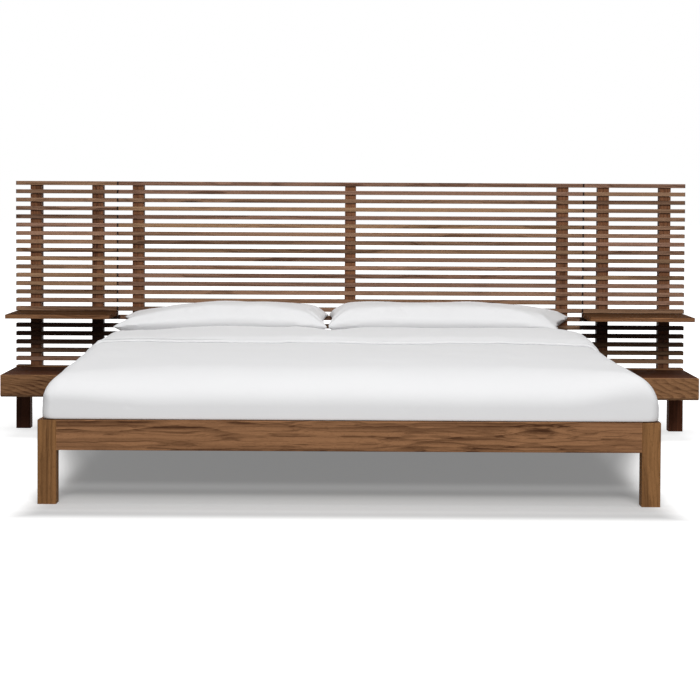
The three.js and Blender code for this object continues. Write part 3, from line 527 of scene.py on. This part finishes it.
def make_cotton_weave():
    """Plain cotton: two sets of threads cross at one pitch, and a soft cloud of wear lies over them."""
    tree, given, out = new_group(
        "cotton_weave",
        {"Vector": None, "Color": srgb(232, 232, 233), "Thread Pitch": 0.0009},
        ("Color", "Roughness", "Height"),
    )
    parts = parts_of(tree, given["Vector"])
    turn = maths(tree, "DIVIDE", 2 * pi, given["Thread Pitch"])
    warp = maths(tree, "SINE", times(tree, parts["X"], turn))
    weft = maths(tree, "SINE", times(tree, parts["Y"], turn))
    weave = times(tree, warp, weft)
    cloud = noise(tree, given["Vector"], 5.0, 3.0)
    slub = long_noise(tree, given["Vector"], 30.0, 900.0, 1.0)
    worn = times(tree, minus(tree, cloud, 0.5), 0.035)
    shade = plus(tree, worn, 1.0, times(tree, weave, 0.010))
    tone = node(tree, "ShaderNodeCombineColor", {0: shade, 1: shade, 2: shade}).outputs[0]
    colour = blend(tree, "MULTIPLY", 1.0, given["Color"], tone)
    height = plus(tree, times(tree, weave, 0.5), times(tree, slub, 0.6))
    rough = spread(tree, cloud, 0.3, 0.7, 0.86, 0.94)
    feed(tree, out, {"Color": colour, "Roughness": rough, "Height": height})
    return tree


COTTON_WEAVE = make_cotton_weave()

# Strength and distance of the threads' bump
COTTON_BUMP = (0.25, 0.0002)


def cotton(name, colour, pitch, sheen):
    """White cotton over a piece's own UV map, which is in metres of cloth."""
    made, tree, shader = plain_material(name)
    place = node(tree, "ShaderNodeTexCoord").outputs["UV"]
    values = {"Vector": place, "Color": srgb(*colour), "Thread Pitch": pitch}
    weave = node(tree, "ShaderNodeGroup", values, node_tree=COTTON_WEAVE).outputs
    plain = {"Sheen Weight": sheen, "Sheen Roughness": 0.6, "IOR": 1.35}
    finish(tree, shader, weave["Color"], weave, COTTON_BUMP, plain)
    return made


# Surfaces


def smooth(value, low, high):
    """Smooth step of arrays from 0 at low to 1 at high."""
    share = np.clip((value - low) / (high - low), 0.0, 1.0)
    return share * share * (3 - 2 * share)


def placed(name, data):
    """A mesh, lamp or camera as a new object in the scene."""
    made = bpy.data.objects.new(name, data)
    SCENE.collection.objects.link(made)
    return made


def lay_weave(mesh, uv):
    """Gives a mesh smooth shading, and a UV map in metres of cloth from one pair for each vertex."""
    corners = np.zeros(len(mesh.loops), np.int32)
    mesh.loops.foreach_get("vertex_index", corners)
    layer = mesh.uv_layers.new(name="cloth")
    layer.data.foreach_set("uv", uv[corners].astype(np.float32).ravel())
    mesh.polygons.foreach_set("use_smooth", np.ones(len(mesh.polygons), bool))
    mesh.update()


def sheet_mesh(name, points, uv, wrap_across=False):
    """A mesh from a grid of points, one row after another, with its UV map in metres.

    points is rows x columns x 3. A wrapped grid joins its last column to its first.
    """
    rows, columns = points.shape[:2]
    across = columns if wrap_across else columns - 1
    row, column = np.meshgrid(np.arange(rows - 1), np.arange(across), indexing="ij")
    here = row * columns + column
    right = row * columns + (column + 1) % columns
    faces = np.stack([here, right, right + columns, here + columns], axis=-1).reshape(-1, 4)
    mesh = bpy.data.meshes.new(name)
    mesh.from_pydata(points.reshape(-1, 3).tolist(), [], faces.tolist())
    lay_weave(mesh, uv.reshape(-1, 2))
    return placed(name, mesh)


def soft_ripple(x, y, seed, reach, count=24):
    """Sum of waves in random directions, of wavelengths near reach, from about -1 to 1."""
    rng = np.random.default_rng(seed)
    total = np.zeros_like(x)
    for _ in range(count):
        angle, phase = rng.uniform(0, 2 * pi, 2)
        wave = 2 * pi / (reach * rng.uniform(0.6, 1.9))
        total += np.cos(wave * (x * cos(angle) + y * sin(angle)) + phase)
    return total / sqrt(count)


def creases(x, y, seed, count, box, length, width):
    """Short raised folds at random places in a box, each a ridge that fades out at its ends."""
    rng = np.random.default_rng(seed)
    total = np.zeros_like(x)
    for _ in range(count):
        cx, cy = rng.uniform(*box[:2]), rng.uniform(*box[2:])
        angle = rng.uniform(0, pi)
        size = rng.uniform(0.5, 1.0)
        along = (x - cx) * cos(angle) + (y - cy) * sin(angle)
        aside = -(x - cx) * sin(angle) + (y - cy) * cos(angle)
        aside = aside + 0.15 * along * along / length
        total += size * np.exp(-((along / length) ** 2) - (aside / width) ** 2)
    return total


# Mattress in its fitted sheet

# Radius of its edges, how far in the innermost rings are, how far the side swells, and the piping's
# distance from the top and bottom, thickness and depth, in metres
MATTRESS_EDGE, INMOST, SIDE_SWELL = 0.036, 0.9, 0.004
PIPING_AT, PIPING_THICK, PIPING_DEEP = 0.032, 0.004, 0.0028

# Power that squares the rings' corners
RING_POWER = 2 / 9


def mattress_surface():
    """Mattress as rings, from the middle of its underside round the side to the middle of its top.

    Each ring is a rounded rectangle inset by the profile. The profile swells at the side
    and carries a piped seam near its top and bottom edge.
    """
    low, high = MATTRESS_LOW, MATTRESS_HIGH
    half = np.array([(high.x - low.x) / 2, (high.y - low.y) / 2])
    centre = np.array([(high.x + low.x) / 2, (high.y + low.y) / 2])
    tall = high.z - low.z
    edge = MATTRESS_EDGE
    quarter = np.linspace(0, pi / 2, 8)
    steep, shallow = edge * (1 - np.sin(quarter)), edge * (1 - np.cos(quarter))
    side = np.linspace(0, 1, 15)[1:-1]
    swell = SIDE_SWELL * (1 - np.sin(side * pi))
    under, over = np.linspace(INMOST, edge + 0.012, 10), np.linspace(edge + 0.012, INMOST, 24)
    inset = np.concatenate([under, steep, swell, shallow, over])
    up_side = edge + side * (tall - 2 * edge)
    level = np.concatenate([0 * under, shallow, up_side, tall - steep, tall + 0 * over])
    piping = np.exp(-(((level - PIPING_AT) / PIPING_THICK) ** 2))
    piping = piping + np.exp(-(((level - tall + PIPING_AT) / PIPING_THICK) ** 2))
    inset = inset - PIPING_DEEP * piping + PIPING_DEEP
    turn = np.linspace(0, 2 * pi, 160, endpoint=False)
    ring_x, ring_y = (np.sign(w) * np.abs(w) ** RING_POWER for w in (np.cos(turn), np.sin(turn)))
    aside = np.minimum(inset, half[0] - 0.002)[:, None]
    ahead = np.minimum(inset * half[1] / half[0], half[1] - 0.002)[:, None]
    x = centre[0] + ring_x * (half[0] - aside)
    y = centre[1] + ring_y * (half[1] - ahead)
    z = np.broadcast_to(low.z + level[:, None], x.shape)
    return x, y, z


def build_mattress():
    """The mattress as one closed skin: one face each fills its first and its last ring."""
    x, y, z = mattress_surface()
    uv = np.stack([x + z, y], axis=-1)
    made = sheet_mesh("mattress_cover", np.stack([x, y, z], axis=-1), uv, wrap_across=True)
    shell = bmesh.new()
    shell.from_mesh(made.data)
    corners, columns = list(shell.verts), x.shape[1]
    shell.faces.new(reversed(corners[:columns])).smooth = True
    shell.faces.new(corners[-columns:]).smooth = True
    shell.to_mesh(made.data)
    shell.free()
    made.data.update()
    return made


# Duvet

DUVET_HALF = RAIL_INNER_X + 0.017
DUVET_FOOT = FOOT_INNER_Y - 0.019
DUVET_HEAD = FOOT_Y + 1.600
DUVET_LIP = FOOT_Y + 1.179
DUVET_TOP = MATTRESS_HIGH.z + 0.024
HEM_RISE = 0.005
HEM_Z = RAIL_TOP + HEM_RISE
SHOULDER_Z = 0.437
TURN_LIFT = 0.038

# Radius of the shoulder on the left and on the right
SHOULDER = {-1: 0.085, 1: 0.105}

# Height of the left and right edge at distances from the bed's foot
LEFT_EDGE = ([0.02, 0.18, 0.42, 0.96, 1.20], [0.428, 0.431, 0.439, 0.456, 0.457])
RIGHT_EDGE = ([0.20, 0.60, 1.20], [0.437, 0.432, 0.437])

# How far the rounding over the foot reaches back, in the middle, at the left and at the right, and
# how far down it reaches
FOOT_DEEP, FOOT_DEEP_LEFT, FOOT_DEEP_RIGHT = 0.225, 0.150, 0.080
FOOT_TALL = 0.118

# Rows over the front edge of the turned-back part, in mm: how far back on top and on the side walls,
# and how high. The last one's numbers in metres follow
LIP_ROWS = (
    (-2, -8, 1), (-4, -3, 5), (3, 4, 9), (15, 15, 14), (28, 28, 18), (44, 44, 22), (62, 62, 25)
)
LIP_LENGTH, LIP_LIFT = 0.062, 0.025

# Rows of the folded head end, in mm: how far past the last row on top, and how far below it
HEAD_ROWS = ((12, 3), (21, 10), (27, 20), (29, 32), (26, 44), (20, 53))

# Filling under the duvet's face, and where its top reaches the edge's height
FILLING = 0.014
EDGE_X = 0.93

# Powers: how its top curves to the edges, how a point's two levels join, how square its corners are
TOP_POWER, LEVEL_POWER, CORNER_POWER = 2.4, 2.6, 2.2

# Hem and tuck: the cloth's level, how far it is drawn in, its height over the rails, its corner's radius
TUCK_LEVEL = [1.0, 1.08, 1.16, 1.24, 1.34, 1.5]
TUCK_DRAWN_IN = [0.0, 0.0015, 0.005, 0.020, 0.0215, 0.022]
TUCK_RISE = [HEM_RISE, 0.0024, 0.0014, 0.0012, -0.008, -0.036]
TUCK_CORNER = [0.036, 0.038, 0.044, 0.125, 0.130, 0.130]


def duvet_top(x, y):
    """Height of the duvet's lower layer: level in the middle, lower towards the sides."""
    edge = np.where(x < 0, np.interp(y - FOOT_Y, *LEFT_EDGE), np.interp(y - FOOT_Y, *RIGHT_EDGE))
    share = np.clip(np.abs(x) / EDGE_X, 0, 1) ** TOP_POWER
    return DUVET_TOP + (edge - DUVET_TOP) * share


def lip_line(x):
    """Y of the turned-back part's front edge: further back on the right, forward at the left end."""
    return DUVET_LIP + 0.10 * smooth(x, 0.05, 0.90) - 0.15 * smooth(-x, 0.80, 1.0)


def side_columns(side):
    """Columns of one side: round the shoulder, down the wall and into the tuck, as x and level."""
    radius = SHOULDER[side]
    turn = np.linspace(0, pi / 2, 14)[1:]
    drop = radius * (1 - np.cos(turn)) / (SHOULDER_Z - HEM_Z)
    wall = drop[-1] + (1 - drop[-1]) * np.linspace(0, 1, 12)[1:]
    level = np.concatenate([drop, wall, TUCK_LEVEL[1:]])
    shoulder_x = DUVET_HALF - radius + radius * np.sin(turn)
    x = np.concatenate([shoulder_x, np.full(len(level) - len(turn), DUVET_HALF)])
    return side * x, level


def duvet_rows(column_x):
    """Rows from the foot's tuck to the folded head end: y, level and lift over the lower layer."""
    flat = 0 * column_x
    corner = smooth(np.abs(column_x), 0.70, 0.98)
    sharp = smooth(-column_x, 0.62, 1.0)
    deep_here = np.where(column_x < 0, FOOT_DEEP_LEFT, FOOT_DEEP_RIGHT)
    deep = FOOT_DEEP + (deep_here - FOOT_DEEP) * corner
    tall = FOOT_TALL - 0.036 * smooth(column_x, 0.70, 0.98) - 0.028 * sharp
    share_tall = tall / (DUVET_TOP - HEM_Z)
    rows = [(flat + DUVET_FOOT, flat + level, flat) for level in TUCK_LEVEL[:0:-1]]
    for step in np.linspace(1, 0, 12)[:-1]:
        rows.append((flat + DUVET_FOOT, share_tall + (1 - share_tall) * step, flat))
    for angle in np.linspace(pi / 2, 0, 16):
        back, down = deep * (1 - sin(angle)), share_tall * (1 - cos(angle))
        rows.append((DUVET_FOOT + back, down, flat))
    lip = lip_line(column_x)
    start = rows[-1][0]
    wall = smooth(np.abs(column_x), 0.94, 0.99)
    for share in np.linspace(0, 1, 72)[1:]:
        rows.append((start + (lip + 0.004 - 0.016 * wall - start) * share, flat, flat))
    fuller = 0.55 + 0.45 * smooth(column_x, -0.95, -0.30)
    for back, on_wall, lift in LIP_ROWS:
        rows.append((lip + 0.001 * (back + (on_wall - back) * wall), flat, 0.001 * lift * fuller))
    top_lift = TURN_LIFT + 0.008 * smooth(column_x, 0.30, 0.85) - 0.016 * smooth(column_x, 0.80, 0.97)
    top_lift = top_lift - 0.027 * smooth(-column_x, 0.45, 0.95)
    dip = 0.013 * np.exp(-(((column_x + 0.065) / 0.07) ** 2))
    for share in np.linspace(0, 1, 36)[1:]:
        rise = sin(share * pi / 2)
        lift = LIP_LIFT * fuller + (top_lift - LIP_LIFT * fuller) * rise - dip * share ** 3
        rows.append((lip + LIP_LENGTH + (DUVET_HEAD - lip - LIP_LENGTH) * share, flat, lift))
    for back, drop in HEAD_ROWS:
        rows.append((flat + DUVET_HEAD + 0.001 * back, flat, top_lift - dip - 0.001 * drop))
    return tuple(np.array(part) for part in zip(*rows))


def duvet_surface():
    """Duvet draped over the mattress as one grid.

    Rows follow the bed from the foot's tuck up over the foot, along the top, round the front edge of
    the turned-back part and to its folded head end. Columns cross the bed from tuck to tuck.
    Each has a level: 0 on top, 1 at the hem, more where it is tucked in. A point's level is the
    length of the pair, its height falls with it, and the plan is drawn in with rounder corners.
    Round a corner the share of the two levels turns the point from the foot wall to the side wall.
    """
    left_x, left_level = side_columns(-1)
    right_x, right_level = side_columns(1)
    middle = np.linspace(left_x[0], right_x[0], 152)[1:-1]
    column_x = np.concatenate([left_x[::-1], middle, right_x])
    column_level = np.concatenate([left_level[::-1], 0 * middle, right_level])
    y, level_y, lift = duvet_rows(column_x)
    lift = lift * (1 - smooth(column_x, 0.955, 0.985)) * (1 - 0.45 * smooth(-column_x, 0.93, 0.99))
    x = np.broadcast_to(column_x, y.shape)
    level_x = np.broadcast_to(column_level, y.shape)
    level = (level_x ** LEVEL_POWER + level_y ** LEVEL_POWER) ** (1 / LEVEL_POWER)
    level = np.minimum(level, TUCK_LEVEL[-1])
    on_top = 1 - smooth(level, 0.75, 1.0)
    on_rails = 1 - smooth(level, 1.10, 1.24)

    wrinkle = 0.0018 * soft_ripple(x, y, 3, 0.42) + 0.0005 * soft_ripple(x, y, 4, 0.13)
    wrinkle += 0.0030 * creases(x, y, 5, 22, (-0.95, 0.95, FOOT_Y + 0.05, FOOT_Y + 1.6), 0.16, 0.022)
    body = duvet_top(x, y) + lift + wrinkle * on_top
    tucked = RAIL_TOP + np.interp(level, TUCK_LEVEL, TUCK_RISE)
    z = np.where(level <= 1, body - level * (body - HEM_Z), tucked)

    drawn_in = np.interp(level, TUCK_LEVEL, TUCK_DRAWN_IN)
    full = np.sin(pi * np.clip(level, 0, 1) ** 1.6)
    swell = 0.0018 * soft_ripple(y + 3 * x, z * 3, 8, 0.30) * smooth(level, 0.25, 0.6) * on_top
    wide = 0.008 * (1 - smooth(y, FOOT_Y + 0.3, FOOT_Y + 0.9)) * smooth(x, 0.7, 0.95) * on_rails
    half = DUVET_HALF + wide - drawn_in + (np.where(x < 0, 0.004, 0.006) * full + swell) * (level_x > 0)
    turned = y - lip_line(x)
    fold = 0.006 * smooth(turned, -0.012, 0.002) * smooth(level_x, 0.02, 0.3) * on_rails
    near = DUVET_FOOT + drawn_in - (0.003 * full + swell) * (level_y > 0)
    x = np.clip(x + wide, -half, half)
    y = np.maximum(y, near)
    corner = np.interp(level, TUCK_LEVEL, TUCK_CORNER)
    corner = corner + 0.014 * (level < 1) * (1 - smooth(level, 0.6, 1.0))
    over_x = (np.abs(x) - (half - corner)) / corner
    over_y = ((near + corner) - y) / corner
    rounded = (over_x > 0) & (over_y > 0)
    over_x = over_x * np.clip(level_x / np.maximum(level_y, 1e-6), 0, 1)
    over_y = over_y * np.clip(level_y / np.maximum(level_x, 1e-6), 0, 1)
    reach = (np.abs(over_x) ** CORNER_POWER + np.abs(over_y) ** CORNER_POWER) ** (1 / CORNER_POWER)
    reach = np.maximum(reach, 1.0)
    x = np.where(rounded, np.sign(x) * (half - corner + corner * over_x / reach), x + np.sign(x) * fold)
    y = np.where(rounded, near + corner - corner * over_y / reach, y)
    return np.stack([x, y, z], axis=-1), level


def cloth_lengths(points):
    """UV of a grid: the distance gone along its middle row and its middle column."""
    gone = []
    for line in (points[points.shape[0] // 2], points[:, points.shape[1] // 2]):
        gone.append(np.concatenate([[0], np.cumsum(np.linalg.norm(np.diff(line, axis=0), axis=1))]))
    return np.stack(np.meshgrid(*gone), axis=-1)


def build_duvet():
    """The duvet as a closed shell, its filling thinner in the hem and tuck."""
    points, level = duvet_surface()
    made = sheet_mesh("duvet_cover", points, cloth_lengths(points))
    filling = made.vertex_groups.new(name="filling")
    share = (1 - 0.8 * smooth(level, 0.80, 1.0)).ravel()
    for value in np.unique(share.round(2)):
        filling.add(np.flatnonzero(share.round(2) == value).tolist(), float(value), "REPLACE")
    shell = made.modifiers.new("lining", "SOLIDIFY")
    shell.thickness = FILLING
    shell.offset = -1.0
    shell.use_even_offset = False
    shell.vertex_group = filling.name
    return made


# Pillows

# Points along and across a pillow, how much closer they lie at its seams, the share of its height
# that the seams are at, and how far the front and back seam curve in
PILLOW_GRID = (96, 60)
CLOSER = 0.35
SEAM_SHARE = 0.45
SEAM_IN = 0.020

# Cloth simulation of a pillow: frames, mesh pitch, the share of its height that it starts with, how
# far a point may move, the pressure, and how much fuller its underside is than the mattress allows
PUFF_FRAMES = 20
SKIN_PITCH = 0.009
FLAT_START = 0.80
PUFF_CAP = 0.018
PRESSURE = 4.0
UNDER_FULL = 1.15


def crown(share, power, softness):
    """Fullness across a pillow: 1 in the middle, 0 at both seams, each half with powers of its own."""
    side, soft = (np.where(share < 0, *pair) for pair in (power, softness))
    return np.clip(1 - np.abs(share) ** side, 0, 1) ** soft


def pillow_points(low, high, form):
    """One pillow: two crowned faces over a square grid that meet in a drawn-in seam.

    Fullness is the product of a crown along the pillow and one across it. The seam curves in
    between pointed corners, the front ones lower than the back ones, the end slants where the
    pillow is pushed, and folds run in from the corners. The underside is rounder, and flat where
    it lies on the mattress.
    """
    grid = np.meshgrid(*(np.linspace(-1, 1, count) for count in PILLOW_GRID))
    u, v = (np.sin(line * pi / 2) * CLOSER + line * (1 - CLOSER) for line in grid)
    length, tall = high.y - low.y, high.z - low.z
    far_left = low.x + form["slant"][0] * (1 - v) / 2
    far_right = high.x - form["slant"][1] * (1 - v) / 2
    width = far_right - far_left
    middle_y = (low.y + high.y) / 2
    seam_z = low.z + tall * SEAM_SHARE
    end_in = np.where(u < 0, *form["drawn_in"])
    x = (far_left + far_right) / 2 + u * (width / 2 - end_in * (1 - v * v))
    y = middle_y + v * (length / 2 - SEAM_IN * (1 - u * u))
    across = crown(v, (4, 4), (0.45, 0.45))
    above = crown(u, form["power"], form["softness"]) * across
    below = (1 - u ** 4) * crown(v, (4, 4), (0.7, 0.7))
    fold = np.zeros_like(u)
    rng = np.random.default_rng(form["seed"])
    for end in (-1, 1):
        for face in (-1, 1):
            from_corner = np.hypot((u - end) * width / 2, (v - face) * length / 2)
            angle = np.arctan2((v - face) * length, (u - end) * width)
            wave = np.cos(angle * rng.uniform(9, 13) + rng.uniform(0, 6))
            fold += wave * np.exp(-(((from_corner - 0.08) / 0.07) ** 2))
    wrinkle = 0.0035 * fold + 0.0030 * soft_ripple(x, y, form["seed"], 0.26)
    wrinkle = (wrinkle + 0.0008 * soft_ripple(x, y, form["seed"] + 1, 0.09)) * smooth(above, 0.0, 0.5)
    droop = np.abs(u) ** 5 * (0.024 * smooth(-v, 0.2, 1.0) - 0.014 * smooth(v, 0.2, 1.0))
    upper = seam_z - droop + (high.z - seam_z - 0.003) * above + wrinkle
    lower = np.maximum(seam_z - droop - (seam_z - low.z + 0.012) * below, low.z)
    return x, y, upper, np.minimum(lower, upper)


def build_pillow(name, cad_name, form):
    """A pillow as one closed mesh."""
    low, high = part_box(cad_name)
    x, y, upper, lower = pillow_points(low, high, form)
    over, under = np.stack([x, y, upper], axis=-1), np.stack([x, y, lower], axis=-1)[:, ::-1]
    made = sheet_mesh(name, over, over[..., :2])
    under = sheet_mesh(name + "_under", under, under[..., :2])
    shell = bmesh.new()
    shell.from_mesh(made.data)
    shell.from_mesh(under.data)
    bmesh.ops.remove_doubles(shell, verts=shell.verts, dist=1e-5)
    bmesh.ops.recalc_face_normals(shell, faces=shell.faces)
    shell.to_mesh(made.data)
    shell.free()
    bpy.data.objects.remove(under)
    return made


def mesh_points(mesh):
    """A mesh's vertices as an array."""
    points = np.zeros(len(mesh.vertices) * 3)
    mesh.vertices.foreach_get("co", points)
    return points.reshape(-1, 3)


def taken_over(piece):
    """Replaces a piece's mesh by what its modifiers make of it, and removes them."""
    graph = bpy.context.evaluated_depsgraph_get()
    made = bpy.data.meshes.new_from_object(piece.evaluated_get(graph))
    piece.modifiers.clear()
    piece.data = made


def stuffed(piece, low, high):
    """Blows up a pillow's skin as cloth by the pressure of its filling.

    The skin starts flatter, is evenly meshed, and swells for a few frames without gravity. No point
    moves further than PUFF_CAP. The seams pull in, so the pillow is then set back to the CAD
    pillow's width, length and height, its underside to the mattress, and the weave is laid over it.
    """
    seam_z = low.z + (high.z - low.z) * SEAM_SHARE
    flat = mesh_points(piece.data)
    flat[:, 2] = seam_z + (flat[:, 2] - seam_z) * FLAT_START
    piece.data.vertices.foreach_set("co", flat.ravel())
    skin = piece.modifiers.new("even_skin", "REMESH")
    skin.mode = "VOXEL"
    skin.voxel_size = SKIN_PITCH
    taken_over(piece)
    start = mesh_points(piece.data)
    cloth = piece.modifiers.new("filling", "CLOTH").settings
    cloth.use_pressure = True
    cloth.uniform_pressure_force = PRESSURE
    cloth.effector_weights.gravity = 0.0
    for step in range(1, PUFF_FRAMES + 1):
        SCENE.frame_set(step)
    taken_over(piece)
    SCENE.frame_set(1)
    move = mesh_points(piece.data) - start
    far = np.linalg.norm(move, axis=1, keepdims=True)
    points = start + move * np.minimum(1.0, PUFF_CAP / np.maximum(far, 1e-6))
    lowest, highest = points.min(axis=0), points.max(axis=0)
    for axis in (0, 1):
        share = (points[:, axis] - lowest[axis]) / (highest[axis] - lowest[axis])
        points[:, axis] = low[axis] + share * (high[axis] - low[axis])
    rise = points[:, 2] - seam_z
    upper = rise * (high.z - seam_z) / (highest[2] - seam_z)
    lower = rise * UNDER_FULL * (seam_z - low.z) / (seam_z - lowest[2])
    points[:, 2] = np.maximum(seam_z + np.where(rise > 0, upper, lower), low.z)
    piece.data.vertices.foreach_set("co", points.ravel())
    lay_weave(piece.data, points[:, :2])
    finer = piece.modifiers.new("finer", "SUBSURF")
    finer.levels = finer.render_levels = 1


# Left and right pillow: crown powers, how the ends are drawn in and slanted, and the folds' seed
PILLOW_FORMS = {
    "pillow_left": {
        "power": (1.6, 3.0), "softness": (1.05, 0.45),
        "drawn_in": (0.046, 0.012), "slant": (0.0, 0.0), "seed": 11,
    },
    "pillow_right": {
        "power": (5.0, 2.5), "softness": (0.25, 0.72),
        "drawn_in": (0.016, 0.022), "slant": (0.0, 0.100), "seed": 12,
    },
}

mattress = build_mattress()
dress(mattress, cotton("fitted_sheet_cotton", (236, 236, 237), 0.0008, 0.05))
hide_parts("mattress")
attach(mattress, "bed")

duvet = build_duvet()
dress(duvet, cotton("duvet_cotton", (231, 231, 232), 0.0010, 0.08))
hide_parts("duvet")
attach(duvet, "bed")

for cad_name, form in PILLOW_FORMS.items():
    pillow = build_pillow(cad_name.replace("pillow", "pillow_cover"), cad_name, form)
    stuffed(pillow, *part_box(cad_name))
    dress(pillow, cotton(cad_name + "_cotton", (229, 229, 230), 0.0008, 0.08))
    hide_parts(cad_name)
    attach(pillow, "bed")


# Studio

# Half the floor's size in metres, and its grey: as the object gets light from it, and as it is seen: a
# painted shadow grey under the bed, plain grey in the open, and a lighter painted shadow grey just before
# the foot
FLOOR_REACH = 60.0
BOUNCE_GREY, UNDER_BED_SHADOW_GREY, OPEN_GREY, FOOT_SHADOW_GREY = 0.36, 0.22, 0.76, 0.65

# Y of the line behind the bed where its shade ends, and how much wider the shade is there than in front
SHADE_BACK = 1.0
SHADE_WIDER = 0.22

# Glow of the floor as it is seen: under the bed, where it sets the painted shadow's level, and what is
# added just outside it and further away, which lifts the shadow's edge and turns the floor white
UNDER_BED_SHADOW_GLOW, NEAR_GLOW, FAR_GLOW = 0.222, 0.45, 0.5

# Changes of that glow under the bed, each between two distances before the foot, in metres, which paint
# the shadow's fall-off towards the foot
SHADOW_GLOW_STEPS = ((-0.58, -0.42, 0.06), (-0.42, -0.25, -0.085), (-0.08, 0.04, -0.115), (0.12, 0.19, -0.082))

# How strongly the white surroundings light the object
AMBIENT = 0.13


def seen_directly(tree):
    """1 for rays that show the surroundings themselves: from the camera, off gloss or through glass."""
    rays = node(tree, "ShaderNodeLightPath").outputs
    kinds = ("Is Camera Ray", "Is Glossy Ray", "Is Transmission Ray")
    return maths(tree, "MAXIMUM", *(rays[kind] for kind in kinds))


def floor_levels(tree):
    """The floor's own grey and its glow where it is seen, from how far it is outside the bed's plan.

    Together they paint the bed's shadow on the floor. Both step up beside, behind and ahead of the bed,
    so the painted shadow stays near it and the floor turns white. Under the bed the glow steps down
    towards the foot, painting the shadow's fall-off.
    """
    place = parts_of(tree, node(tree, "ShaderNodeTexCoord").outputs["Object"])
    shade_edge = plus(tree, RAIL_INNER_X, spread(tree, place["Y"], -0.6, 0.9, 0.0, SHADE_WIDER))
    beside = minus(tree, maths(tree, "ABSOLUTE", place["X"]), shade_edge)
    behind = minus(tree, place["Y"], SHADE_BACK)
    ahead = minus(tree, FOOT_Y, place["Y"])
    near = maths(tree, "MAXIMUM", spread(tree, ahead, 0.19, 0.32), spread(tree, beside, -0.02, 0.13))
    near = maths(tree, "MAXIMUM", near, spread(tree, behind, 0.1, 0.6))
    far = maths(tree, "MAXIMUM", beside, ahead, behind)
    # Painted shadow under the bed: its level, then its fall-off towards the foot
    glow = UNDER_BED_SHADOW_GLOW
    for start, end, change in SHADOW_GLOW_STEPS:
        glow = plus(tree, glow, spread(tree, ahead, start, end, 0.0, change))
    glow = plus(tree, glow, times(tree, near, NEAR_GLOW), spread(tree, far, 0.5, 2.0, 0.0, FAR_GLOW))
    # Where the floor is out of the painted shadow; just before the foot a lighter painted shadow
    clear = maths(tree, "MAXIMUM", spread(tree, beside, -0.08, 0.04), spread(tree, ahead, -0.35, -0.02))
    clear = maths(tree, "MAXIMUM", clear, spread(tree, behind, -0.1, 0.1))
    painted_foot_shadow = times(tree, spread(tree, ahead, 0.0, 0.1), spread(tree, beside, 0.0, 0.12, 1.0, 0.0))
    pale = blend(tree, "MIX", painted_foot_shadow, grey(OPEN_GREY), grey(FOOT_SHADOW_GREY))
    return blend(tree, "MIX", clear, grey(UNDER_BED_SHADOW_GREY), pale), glow


def build_floor():
    """Pale matt floor with its own levels where it is seen directly, which paint the bed's shadow on it.
    """
    corners = [(x * FLOOR_REACH, y * FLOOR_REACH, 0) for x, y in ((-1, -1), (1, -1), (1, 1), (-1, 1))]
    mesh = bpy.data.meshes.new("studio_floor")
    mesh.from_pydata(corners, [], [(0, 1, 2, 3)])
    made = placed("studio_floor", mesh)
    material, tree, shader = plain_material("pale_floor")
    tree.nodes.remove(shader)
    seen = seen_directly(tree)
    colour, glow = floor_levels(tree)
    colour = blend(tree, "MIX", seen, grey(BOUNCE_GREY), colour)
    matt = node(tree, "ShaderNodeBsdfDiffuse", {"Color": colour})
    light = node(tree, "ShaderNodeEmission", {"Strength": times(tree, seen, glow)})
    both = node(tree, "ShaderNodeAddShader", {0: matt.outputs[0], 1: light.outputs[0]})
    feed(tree, tree.nodes["Material Output"], {"Surface": both.outputs[0]})
    dress(made, material)


def light_world():
    """White surroundings: seen at full strength, lighting the object at the ambient strength."""
    world = bpy.data.worlds.new("studio_world")
    SCENE.world = world
    world.use_nodes = True
    tree = world.node_tree
    strength = spread(tree, seen_directly(tree), 0.0, 1.0, AMBIENT, 1.0)
    feed(tree, tree.nodes["Background"], {"Color": grey(1.0), "Strength": strength})


def soft_lamp(name, place, target, size, power):
    """A rectangular softbox aimed at a point."""
    lamp = bpy.data.lights.new(name, "AREA")
    lamp.shape = "RECTANGLE"
    lamp.size, lamp.size_y = size
    lamp.energy = power
    made = placed(name, lamp)
    made.location = place
    made.rotation_euler = (Vector(target) - Vector(place)).to_track_quat("-Z", "Y").to_euler()


def place_camera():
    """The photograph's view: from the foot, a little above the bed, by a long lens, frame shifted."""
    place = (0.0029, -7.7439, 1.0299)
    yaw, pitch, roll = -0.001613, 0.03638, 0.005051
    focal_px, centre_px, image_px = 2020.8, (347.6, 267.1), 700
    right = Vector((cos(yaw), -sin(yaw), 0))
    ahead = Vector((sin(yaw) * cos(pitch), cos(yaw) * cos(pitch), -sin(pitch)))
    up = right.cross(ahead)
    image_right = cos(roll) * right + sin(roll) * up
    image_up = cos(roll) * up - sin(roll) * right
    camera = bpy.data.cameras.new("camera")
    camera.sensor_width = 36.0
    camera.lens = focal_px * camera.sensor_width / image_px
    camera.shift_x = (image_px / 2 - centre_px[0]) / image_px
    camera.shift_y = (centre_px[1] - image_px / 2) / image_px
    made = placed("camera", camera)
    turn = Matrix((image_right, image_up, -ahead)).transposed().to_4x4()
    made.matrix_world = Matrix.Translation(place) @ turn
    SCENE.camera = made


build_floor()
light_world()
soft_lamp("key_lamp", place=(0.6, -9.4, 5.2), target=(0, 0.0, 0.4), size=(5.4, 3.8), power=685)
soft_lamp("top_lamp", place=(0.0, -0.3, 6.2), target=(0, -0.3, 0.3), size=(6.0, 5.0), power=207)
place_camera()
SCENE.view_settings.view_transform = "Standard"
